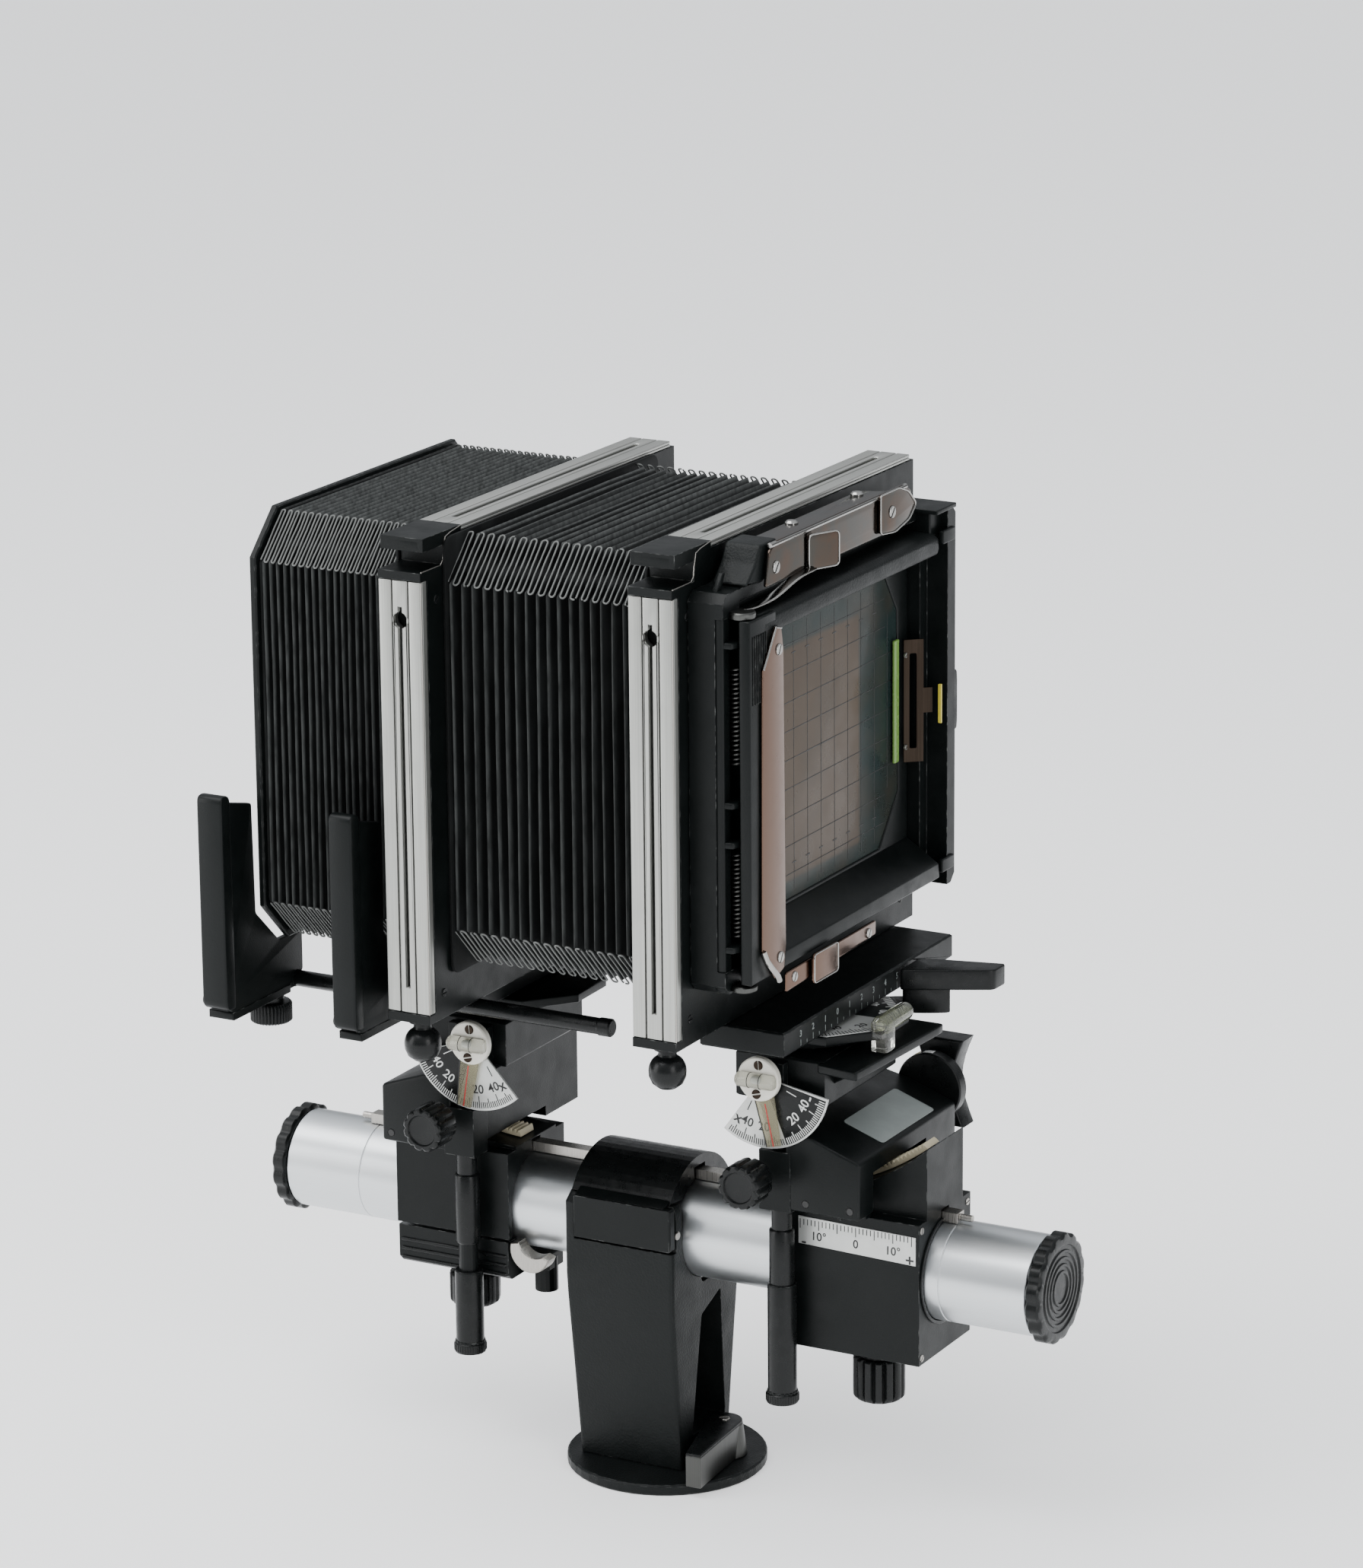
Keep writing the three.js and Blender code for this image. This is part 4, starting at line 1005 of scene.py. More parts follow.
def make_knobs(side):
    """The lobed rise knob, the ribbed focus knob and the round grip below the frame."""
    rise, ball = Box(f"{side}_rise_knob"), Box(f"{side}_ball_knob")
    face = [(5.2, 0), (6.3, -0.2), (6.3, -2.6, 1), (7.9, -3.0), (8.0, -3.8), (8.0, -12.2), (7.6, -13.1),
            (7.0, -13.5),
            (5.7, -13.5, 1), (5.2, -12.7, 1), (3.0, -12.5, 1)]
    made = turned(f"{side}_rise_grip", "Y", (rise.x, rise.y1, rise.z), face, PLASTIC, f"{side}_rise_knob",
                  "black_plastic", 0, 12, 0.85, 4)
    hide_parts(f"{side}_rise_knob")
    rib = Box(f"{side}_focus_knob")
    high = rib.z1 - rib.z0
    grip = high - 6.0
    profile = [(7.6, 0.0, 1), (8.6, 0.6), (9.1, 1.4), (9.2, 3.0), (9.2, grip - 0.6), (8.8, grip),
               (7.0, grip + 0.2, 1),
               (7.0, grip + 1.6, 1), (7.8, grip + 2.2, 1), (7.8, high, 1)]
    made = turned(f"{side}_focus_grip", "Z", (rib.x, rib.y, rib.z0), profile, PLASTIC, f"{side}_focus_knob",
                  "black_plastic", 0, 14, 1.5, 5)
    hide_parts(f"{side}_focus_knob")
    radius, cy = 6.4, -80.0
    cz = ball.z0 + radius
    profile = [(radius * math.sin(math.radians(t)), -radius * math.cos(math.radians(t))) for t in range(4,
            140, 8)]
    profile += [(3.3, 5.4), (3.0, 6.4), (3.0, 7.4), (4.6, 7.6), (4.6, ball.z1 - cz)]
    made = turned(f"{side}_ball_grip", "Z", (ball.x, cy, cz), profile, PLASTIC, f"{side}_ball_knob",
                  "black_plastic")
    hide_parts(f"{side}_ball_knob")


def make_tilt_knob(side):
    """The drum with its marks and the wing that turns it."""
    node, body = Box(f"{side}_tilt_knob"), f"{side}_tilt_knob"
    centre = (node.x, node.y0, node.z)
    drum = [(9.0, 0), (12.0, 0.2), (12.4, 0.8), (12.4, 5.0), (12.0, 5.6), (10.6, 5.8), (10.4, 7.0),
            (8.0, 7.4), (7.6, 9.0)]
    made = turned(f"{side}_drum", "Y", centre, drum, PLASTIC, body, "black_plastic", 64)
    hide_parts(f"{side}_tilt_knob")
    side_in = 5.2
    wing = []
    for start, end in ((-1, 1), (1, -1)):
        x = 9.6 * end
        for k in range(9):
            t = k / 8
            z = (-16 + 32 * t) * end
            wing.append((node.x + x - end * (9.6 - side_in) * math.sin(math.pi * t), node.z + z))
    plate_piece(f"{side}_wing", "Y", wing, node.y0 + 8.0, node.y1 - 0.1, PLASTIC, body, "black_plastic", 1.0)
    for name, start, turn, color in (("yellow", 112, 16, YELLOW), ("white", 86, 18, WHITE)):
        arc = ring(node.x, node.z, 12.42, 6, start, turn)
        rows = [[(x, y, z) for x, z in arc] for y in (node.y0 + 1.6, node.y0 + 4.2)]
        count = len(arc)
        faces = [(k, k + 1, count + k + 1, count + k) for k in range(count - 1)]
        mark = piece(f"{side}_drum_{name}", rows[0] + rows[1], faces, color, None)
        mark.modifiers.new("thick", "SOLIDIFY").thickness = 0.1 * MM
        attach(mark, body)


def make_lift(side):
    """Rings and the knurled end of the telescopic lift tube."""
    tube, rod = Box(f"{side}_lift_tube"), Box(f"{side}_lift_rod")
    x, y = tube.x, tube.y
    join = tube.z0 + 6.3
    upper = [(3.6, 33.3), (3.6, 26.0), (4.2, 25.6), (4.4, 25.2), (4.4, 0.9), (4.1, 0.3), (3.9, 0.0)]
    shift = tube.z1 - 33.3
    made = turned(f"{side}_lift_sleeve", "Z", (x, y, shift), upper[::-1], PLASTIC, f"{side}_cradle",
                  "black_paint", 32)
    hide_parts(f"{side}_lift_tube")
    lower = [(5.5, 0), (5.7, 0.5), (5.7, 3.2), (5.4, 3.6), (5.05, 3.8), (5.05, join - rod.z0 - 1.2),
             (4.7, join - rod.z0)]
    turned(f"{side}_lift_end", "Z", (x, y, rod.z0 - 0.1), lower, PLASTIC, f"{side}_lift", "black_paint", 48)
    for number in range(36):
        angle = 2 * math.pi * number / 36
        cx, cy = x + 5.72 * math.cos(angle), y + 5.72 * math.sin(angle)
        tube_piece(f"{side}_knurl_{number}", [(cx, cy, rod.z0 + 0.5), (cx, cy, rod.z0 + 3.0)], 0.14, PLASTIC,
                   f"{side}_lift")


# ---- rail, caps, carriages and their covers ----
def make_rail():
    """The drawn tube with its seams, and the toothed caps with ringed faces."""
    tube, z = Box("rail_tube"), Box("rail_tube").z
    r = tube.z1 - z
    profile = [(14, tube.x0), (r - 0.3, tube.x0), (r, tube.x0 + 0.3)]
    for x in (-RAIL_SEAM, RAIL_SEAM):
        profile += [(r, x - 0.25), (r - 0.25, x - 0.15), (r - 0.25, x + 0.15), (r, x + 0.25)]
    profile += [(r, tube.x1 - 0.3), (r - 0.3, tube.x1), (14, tube.x1)]
    made = turned("rail_bar", "X", (0, 0, z), profile, RAIL_X, "rail", "rail_metal", 96)
    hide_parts("rail_tube")
    for side, sign in (("front", -1), ("rear", 1)):
        cap = Box(f"rail_{side}_cap")
        thick = cap.x1 - cap.x0
        start = cap.x0 if sign > 0 else cap.x1
        profile = [(17.0, 0, 1), (18.6, 0.2), (19.4, 0.8), (19.4, thick - 1.0), (18.8, thick - 0.3),
                   (17.6, thick, 1)]
        profile += [(15.4, thick, 1), (15.1, thick - 0.5, 1)]
        for radius in (13.6, 11.2, 8.8, 6.4):
            profile += [(radius, thick - 0.5, 1), (radius - 0.25, thick - 0.05, 1),
                        (radius - 1.1, thick - 0.05, 1), (radius - 1.35, thick - 0.5, 1)]
        profile.append((0.5, thick - 0.5, 1))
        profile = [(row[0], row[1] * sign, *row[2:]) for row in profile]
        made = turned(f"rail_{side}_end", "X", (start, 0, z), profile, PLASTIC, "rail", "black_plastic", 0,
                      16, 1.0, 2)
        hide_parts(f"rail_{side}_cap")


def make_carriage_trim():
    """The degree scale, end screws, rail boss and clamp ribs of the two carriages."""
    rear = Box("rear_carriage")
    plate_outline = [(rear.x0 + 5.5, 98.6), (rear.x1 - 1.2, 97.4), (rear.x1 - 1.2, 107.6),
                     (rear.x0 + 5.5, 108.6)]
    plate_piece("degree_plate", "Y", plate_outline, rear.y0 - 0.35, rear.y0 + 0.1, SILVER, "rear_carriage",
                "scale_plate", 0.06)
    dial = Dial((0, rear.y0 - 0.37, 0), (1, 0, 0), (0, 0, 1))
    middle, step = 85.5, 1.42
    strokes = []
    for degree in range(-15, 17):
        x = middle + degree * step
        if rear.x0 + 6 < x < rear.x1 - 1.6:
            long = 3.4 if degree % 5 == 0 else 2.1
            strokes.append(((x, 107.6), (x, 107.6 - long)))
    dial.marks("degree_ticks", strokes, 0.3, MARKS, "rear_carriage", "scale_plate", 0.03)
    for name, words, x, z in (("ten_left", "10°", -10, 101.8), ("zero", "0", 0, 101.5),
                              ("ten_right", "10°", 10, 101.3)):
        dial.text(f"degree_{name}", words, 4.3, middle + x * step, z, MARKS, "rear_carriage", "scale_plate",
                  -1, 0.03)
    dial.text("degree_minus", "-", 6.0, rear.x0 + 7.6, 99.6, MARKS, "rear_carriage", "scale_plate", 0, 0.03)
    dial.text("degree_plus", "+", 6.0, rear.x1 - 3.4, 98.8, MARKS, "rear_carriage", "scale_plate", 0, 0.03)
    face, rail_z = rear.x1, Box("rail_tube").z
    boss, hole = ring(0, rail_z, 19.3, 64), ring(0, rail_z, 18.1, 64)
    plate_piece("rail_boss", "X", boss, face - 0.2, face + 0.7, PLASTIC, "rear_carriage", "black_plastic",
                0.25, [hole])
    for name, y, z, turn in (("low", -17.8, rear.z0 + 2.4, 35), ("high", -17.8, 109.5, 80),
                             ("far", 17.6, 109.0, 10)):
        screw(f"edge_screw_{name}", (face, y, z), "X", 1, 1.3, STEEL, "rear_carriage", turn)
    jaw = Box("front_clamp_jaw")
    for number, z in enumerate((66.8, 70.2, 73.6)):
        path = [(-96.6, jaw.y0 + 1.0, z), (-95.8, jaw.y0 - 0.1, z), (-54.0, jaw.y0 - 0.1, z),
                (-53.2, jaw.y0 + 1, z)]
        tube_piece(f"clamp_rib_{number}", path, 0.75, PLASTIC, "front_carriage")


def carve(made, cutters):
    """Cut pieces away from another and keep the result as its mesh."""
    for cutter in cutters:
        cut = made.modifiers.new("cut", "BOOLEAN")
        cut.operation, cut.object, cut.solver = "DIFFERENCE", cutter, "EXACT"
    bpy.context.view_layer.update()
    ready = bpy.data.meshes.new_from_object(made.evaluated_get(bpy.context.evaluated_depsgraph_get()))
    made.modifiers.clear()
    made.data = ready
    ready.shade_smooth()
    ready.set_sharp_from_angle(angle=math.radians(28))
    for cutter in cutters:
        bpy.data.objects.remove(cutter)


def make_housings():
    """The slanted cover of each tilt housing, open along the arc that it runs on."""
    for side, sign in (("rear", 1), ("front", -1)):
        node, body, tilt = Box(f"{side}_tilt_housing"), f"{side}_cradle", PIVOT[f"{side}_tilt"]
        outer = (node.x1 if sign > 0 else node.x0) + sign * 0.5
        floor, eaves, ridge, top = 114.0, 134.8, 141.2, 143.4
        profile = [(outer, floor), (outer, eaves), (outer - sign * 18, ridge), (outer - sign * 28.2, top),
                   (outer - sign * 28.2, floor)]
        profile = profile if sign < 0 else profile[::-1]
        made = prism_solid(f"{side}_housing_cover", "Y", profile, node.y0 + 0.1, node.y1 - 0.1, BLACK, None,
                           1.1)
        arc = ring(tilt.x, tilt.z, 93.9, 41, 230, 80)
        channel = [(tilt.x - 70, 90), (tilt.x + 70, 90), *arc[::-1]]
        carve(made, [plate_piece("cut_channel", "Y", channel, -20.3, 20.3, BLACK, None, None, 0.02)])
        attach(made, body)
        for number, x in enumerate((outer - sign * 20.5, outer - sign * 3.6)):
            well = [(1.5, 0.05), (1.35, 0.15), (1.1, -0.6), (0.2, -0.6)]
            turned(f"{side}_cover_hole_{number}", "Y", (x, node.y0 + 0.1, floor + 3.2),
                   [(radius, -lift) for radius, lift in well], MARKS, body, "black_paint", 20)
        slope = math.atan2(ridge - eaves, 18)
        if side == "rear":
            label = Dial((outer - 9.4, 10.5, (eaves + ridge) / 2 + 0.28),
                         (math.cos(slope), 0, -math.sin(slope)),
                         (0, 1, 0))
            label.plate("housing_label", rectangle(-8.2, 8.2, -20, 20, 1.6), -0.1, 0.2, GREY, body,
                        "scale_plate", 0.08)
            pointer = [(79.2, 109.8), (80.4, 109.8), (80.8, 114.6), (78.8, 114.6)]
            plate_piece("degree_pointer", "Y", pointer, node.y0 + 9.6, node.y0 + 10.5, BLACK, body,
                        "black_paint", 0.1)


def make_racks():
    """The nylon tilt racks, toothed along the arc."""
    for side in ("front", "rear"):
        node, tilt = Box(f"{side}_tilt_rack"), PIVOT[f"{side}_tilt"]
        tip, root, back, pitch = 94.25, 95.3, 96.6, 1.7
        low, high = sorted(math.degrees(math.asin((x - tilt.x) / back)) for x in (node.x0, node.x1))
        count = int(math.radians(high - low) * tip / pitch)
        outline, share = [], (high - low) / count
        for k in range(count):
            for part, radius in ((0.05, root), (0.3, tip), (0.6, tip), (0.85, root)):
                angle = math.radians(low + share * (k + part) - 90)
                outline.append((tilt.x + radius * math.cos(angle), tilt.z + radius * math.sin(angle)))
        outline += ring(tilt.x, tilt.z, back, 24, high - 90, low - high)
        made = plate_piece(f"{side}_toothed_rack", "Y", outline, node.y0, node.y1, NYLON, f"{side}_carriage",
                           "nylon", 0.05)
        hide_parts(f"{side}_tilt_rack")


def make_bearer_bar():
    """The long flat bar that reaches out from the top of the rear bearer."""
    node = Box("rear_bearer")
    bar = [(node.x1 - 2, -29, 1), (node.x1 + 14, -31, 1), (node.x1 + 16.6, 27, 1), (node.x1 + 16.4, 31, 1),
           (node.x1 - 2, 31, 1)]
    plate_piece("bearer_bar", "Z", rounded(bar), node.z1 - 3.4, node.z1 - 0.2, BLACK, "rear_bearer",
                "black_paint", 0.6)
    rib = [(node.x1 - 1, node.z1 - 10), (node.x1 - 1, node.z1 - 3), (node.x1 + 11, node.z1 - 3)]
    for number, y in enumerate((-20, 18)):
        prism_solid(f"bearer_rib_{number}", "Y", rib, y, y + 4, BLACK, "rear_bearer", 0.4)


def make_tower():
    """The cast tower, upright above and drawn in below, with a deep pocket in each side."""
    node = Box("clamp_tower")
    levels = [(node.z0, 20.5, 17.5), (40, 20.9, 21.6), (66, 21.3, 24.6), (74, 21.5, 25), (100.5, 21.5, 25),
              (node.z1, 20.6, 22.6)]
    cx = node.x
    vertices, faces = [], []
    corner = 1.8
    for z, half_x, half_y in levels:
        outline = rectangle(cx - half_x, cx + half_x, -half_y, half_y, corner)
        vertices += [(x, y, z) for x, y in outline]
    count = len(vertices) // len(levels)
    for row in range(len(levels) - 1):
        for i in range(count):
            j = (i + 1) % count
            faces.append((row * count + i, row * count + j, (row + 1) * count + j, (row + 1) * count + i))
    faces.append(tuple(range(count))[::-1])
    faces.append(tuple(range((len(levels) - 1) * count, len(levels) * count)))
    made = piece("tower_casting", vertices, faces, CAST, None)
    z, r = Box("rail_tube").z, 18.0
    mouth = [(-r, node.z1 + 5), *ring(0, z, r, 33, 180, 180), (r, node.z1 + 5)]
    pocket = rounded([(-3.5, 58.5), (10.5, 64), (14.5, 15), (-10, 15)], 1.2)
    notch = rounded([(-4, 78), (7, 78), (7, 70.4), (-4, 70.4)], 2.5)
    latch = Box("jaw_latch")
    seat = [(latch.x0 - 0.5, -40), (latch.x1 + 12, -40), (latch.x1 + 12, -22), (latch.x0 - 0.5, -22)]
    cutters = [
        plate_piece("cut_mouth", "X", mouth, -60, 60, CAST, None, None, 0.05),
        plate_piece("cut_pocket", "X", pocket, cx + 8, cx + 40, CAST, None, None, 0.4),
        plate_piece("cut_pocket_far", "X", pocket, cx - 40, cx - 8, CAST, None, None, 0.4),
        plate_piece("cut_notch", "X", notch, cx + 16, cx + 40, CAST, None, None, 0.05),
        plate_piece("cut_seat", "Z", seat, latch.z0 - 1.4, node.z1 + 5, CAST, None, None, 0.05),
    ]
    carve(made, cutters)
    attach(made, "base")
    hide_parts("clamp_tower")
    pin = [(1.6, -0.3), (1.6, 0.1), (1.3, 0.35)]
    turned("jaw_pin_end", "X", (node.x1, -21.0, 93.5), pin, STEEL, "base", "plain_steel", 24)
    spring = rounded([(-2.6, 74.2), (5.4, 75.6), (5.4, 72.8), (-2.6, 71.6)], 0.8)
    plate_piece("rail_pad", "X", spring, node.x1 - 6, node.x1 - 0.6, CHROME, "base", "plain_steel", 0.3)
    make_foot_lever()
    plate = [(-25.6, latch.z1 - 0.1), (-21.6, latch.z1 + 2.2), (-21.0, latch.z1 + 1.4),
             (-24.8, latch.z1 - 1.2)]
    prism_solid("latch_lip", "X", plate, latch.x0 + 0.4, latch.x1 - 3, BLACK, "latch", 0.25)


def make_foot_lever():
    """The lever that locks the foot: a grey blade with a black top and a flared hub."""
    node, hub = Box("foot_lever"), PIVOT["foot_lever_pivot"]
    low, high, tip, radius = node.z0 + 0.1, node.z1, node.y0 + 0.3, 6.4
    along = math.degrees(math.atan2(hub.y - tip, hub.x - 27.6))
    round_end = ring(hub.x, hub.y, radius, 17, along - 90, 180)
    outline = [(23.6, tip), (29.4, tip + 0.3), *round_end]
    made = plate_piece("foot_lever_blade", "Z", outline, low, high - 0.9, GUNMETAL,
                       "foot_lever", "black_paint", 0.5)
    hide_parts("foot_lever")
    plate_piece("foot_lever_top", "Z", outline, high - 1.2, high, PLASTIC, "foot_lever", "black_plastic", 0.6)
    profile = [(radius + 1.6, low), (radius + 1.5, low + 0.8), (radius + 0.1, high - 1.4)]
    turned("foot_lever_hub", "Z", (hub.x, hub.y, 0), profile, GUNMETAL, "foot_lever", "black_paint", 64)
    screw("foot_lever_screw", (hub.x, hub.y, high), "Z", 1, 2.0, STEEL, "foot_lever", 30)


def make_springs():
    """The two coil springs in the notch beside the glass."""
    for name in ("upper", "lower"):
        node = Box(f"back_{name}_spring")
        radius, pitch, steps = (node.x1 - node.x0) / 2 - 0.35, 1.55, 12
        turns = int((node.z1 - node.z0) / pitch)
        path = []
        for i in range(turns * steps + 1):
            angle = 2 * math.pi * i / steps
            path.append((node.x + radius * math.cos(angle), node.y + radius * math.sin(angle),
                         node.z0 + 0.3 + (node.z1 - node.z0 - 0.6) * i / (turns * steps)))
        made = tube_piece(f"back_{name}_coil", path, 0.34, SPRING_STEEL, "rear_standard")
        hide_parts(f"back_{name}_spring")


def edge_reach(outline, cx, cy, angle):
    """How far a ray from a point goes before it leaves a convex outline."""
    dx, dy, best = math.cos(angle), math.sin(angle), 1e9
    for (ax, ay), (bx, by) in zip(outline, outline[1:] + outline[:1]):
        ex, ey = bx - ax, by - ay
        cross = dx * ey - dy * ex
        if abs(cross) > 1e-9:
            t = ((ax - cx) * ey - (ay - cy) * ex) / cross
            u = ((ax - cx) * dy - (ay - cy) * dx) / cross
            if t > 0 and -1e-6 <= u <= 1 + 1e-6:
                best = min(best, t)
    return best


def make_swing_table(side):
    """The cut-cornered swing plate with its scale, half bright and half black, and its level."""
    node, body = Box(f"{side}_swing_table"), f"{side}_table"
    centre = PIVOT[f"{side}_swing"]
    cx, cy, top = centre.x, 2.0 if side == "rear" else 0.0, node.z1 - 0.2
    outline = [(cx - 14.7, -24), (cx + 9, -25), (cx + 19, -24), (cx + 32.6, -8), (cx + 32.2, 12.5),
               (cx + 19, 27),
               (cx, 30), (cx - 14.7, 24)]
    made = plate_piece(f"{side}_swing_plate", "Z", outline, top - 3.2, top, BLACK, body, "black_paint", 0.5)
    hub = [(19.4, node.z0 + 0.1), (20, node.z0 + 0.6), (20, top - 3.0)]
    turned(f"{side}_swing_hub", "Z", (cx, 0, 0), hub, BLACK, body, "black_paint", 72)
    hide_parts(f"{side}_swing_table")
    if side == "front":
        return
    bright = [(cx + 6, -24.1), (cx + 18.6, -23.1), (cx + 31.8, -7.6), (cx + 31.6, 3.6), (cx + 6, 2.6)]
    plate_piece("swing_scale_bright", "Z", bright, top - 0.1, top + 0.18, SILVER, body, "scale_plate", 0.05)
    for tone, color, start, lift in (("light", MARKS, -63, 0.2), ("dark", WHITE, 3, 0.02)):
        dial, strokes = Dial((0, 0, top + lift), (1, 0, 0), (0, 1, 0)), []
        for k in range(25):
            angle = math.radians(start + 2.5 * k)
            reach = edge_reach(outline, cx, cy, angle) - 1.2
            long = 4.4 if k % 4 == 0 else 3.0
            strokes.append(tuple((cx + r * math.cos(angle), cy + r * math.sin(angle)) for r in (reach,
                    reach - long)))
        dial.marks(f"swing_{tone}_ticks", strokes, 0.3, color, body, "scale_plate", 0.04)
        for number, turn in (("20", 20), ("40", 42)):
            angle = math.radians(turn if tone == "dark" else -turn)
            reach = edge_reach(outline, cx, cy, angle) - 8.2
            dial.text(f"swing_{tone}_{number}", number, 4.4, cx + reach * math.cos(angle),
                      cy + reach * math.sin(angle),
                      color, body, "scale_plate", math.degrees(angle) + 90, 0.04)
    x, z = cx + 32.6, top + 2.4
    vial = [(2.2, -11.5), (3.0, -11.2), (3.2, -10.4), (3.2, 8.4), (3.0, 9.2), (2.2, 9.5)]
    turned("swing_level_body", "Y", (x, 0, z), vial, CLEAR, body, "clear_acrylic", 40)
    turned("swing_level_vial", "Y", (x, 0, z), [(1.2, -9.5), (1.9, -8.8), (1.9, 7.0), (1.2, 7.6)], SPIRIT,
           body,
           "clear_acrylic", 32)
    for number, y in enumerate((-3.0, 0.6)):
        line = [(x + 1.96 * math.cos(a), y,
                 z + 1.96 * math.sin(a)) for a in (math.tau * k / 24 for k in range(24))]
        tube_piece(f"swing_level_line_{number}", line, 0.14, MARKS, body, True)
    foot = [(x - 3.2, z - 9.5), (x + 3.0, z - 9.5), (x + 3.2, z), (x - 3.2, z)]
    prism_solid("swing_level_foot", "Y", foot, -11.2, -4.4, CLEAR, body, 0.8)


def make_swing_lever():
    """The flat handle that passes under the rear swing plate and rises beside the shift bar."""
    node, body = Box("rear_swing_lever"), "swing_lever"
    low, high = node.z0 + 0.6, node.z1 - 1.4
    root = [(58, 21, 2), (66, 21.5, 2), (80, 33, 2), (88, 38, 3), (84, 44, 3), (72, 40, 2), (58, 30, 2)]
    made = plate_piece("swing_lever_root", "Z", rounded(root), low, low + 3.4, PLASTIC, body, "black_plastic",
                       0.6)
    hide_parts("rear_swing_lever")
    riser = [(76.8, 31.5, 2), (86, 35.5, 3), (93, 40, 3), (84, 45, 3), (76.8, 42, 2)]
    plate_piece("swing_lever_riser", "Z", rounded(riser), low, high - 5, PLASTIC, body, "black_plastic", 0.5)
    handle = [(76.8, 29.8, 2), (85.5, 34, 3), (106.4, 44.5, 1.8), (106.8, 53.6, 1.8), (80, 47, 3),
              (76.8, 44.6, 1.5)]
    plate_piece("swing_lever_handle", "Z", rounded(handle), high - 7.4, high, PLASTIC, body, "black_plastic",
                0.6)


def make_ball_knobs():
    """Mushroom knobs below the corners of the two standards."""
    for side in ("front", "rear"):
        node, body = Box(f"{side}_ball_knob"), f"{side}_ball_knob"
        r = node.x1 - node.x
        profile = [(0.4, node.z0), (r * 0.5, node.z0 + 0.6), (r * 0.82, node.z0 + 2.2),
                   (r * 0.98, node.z0 + 4.6),
                   (r, node.z0 + 6.4), (r * 0.95, node.z0 + 8.4), (r * 0.7, node.z0 + 9.9),
                   (r * 0.5, node.z0 + 10.6),
                   (r * 0.46, node.z1 - 0.6), (r * 0.6, node.z1)]
        made = turned(f"{side}_ball", "Z", (node.x, node.y, 0), profile, PLASTIC, body, "black_plastic", 56)
        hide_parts(f"{side}_ball_knob")


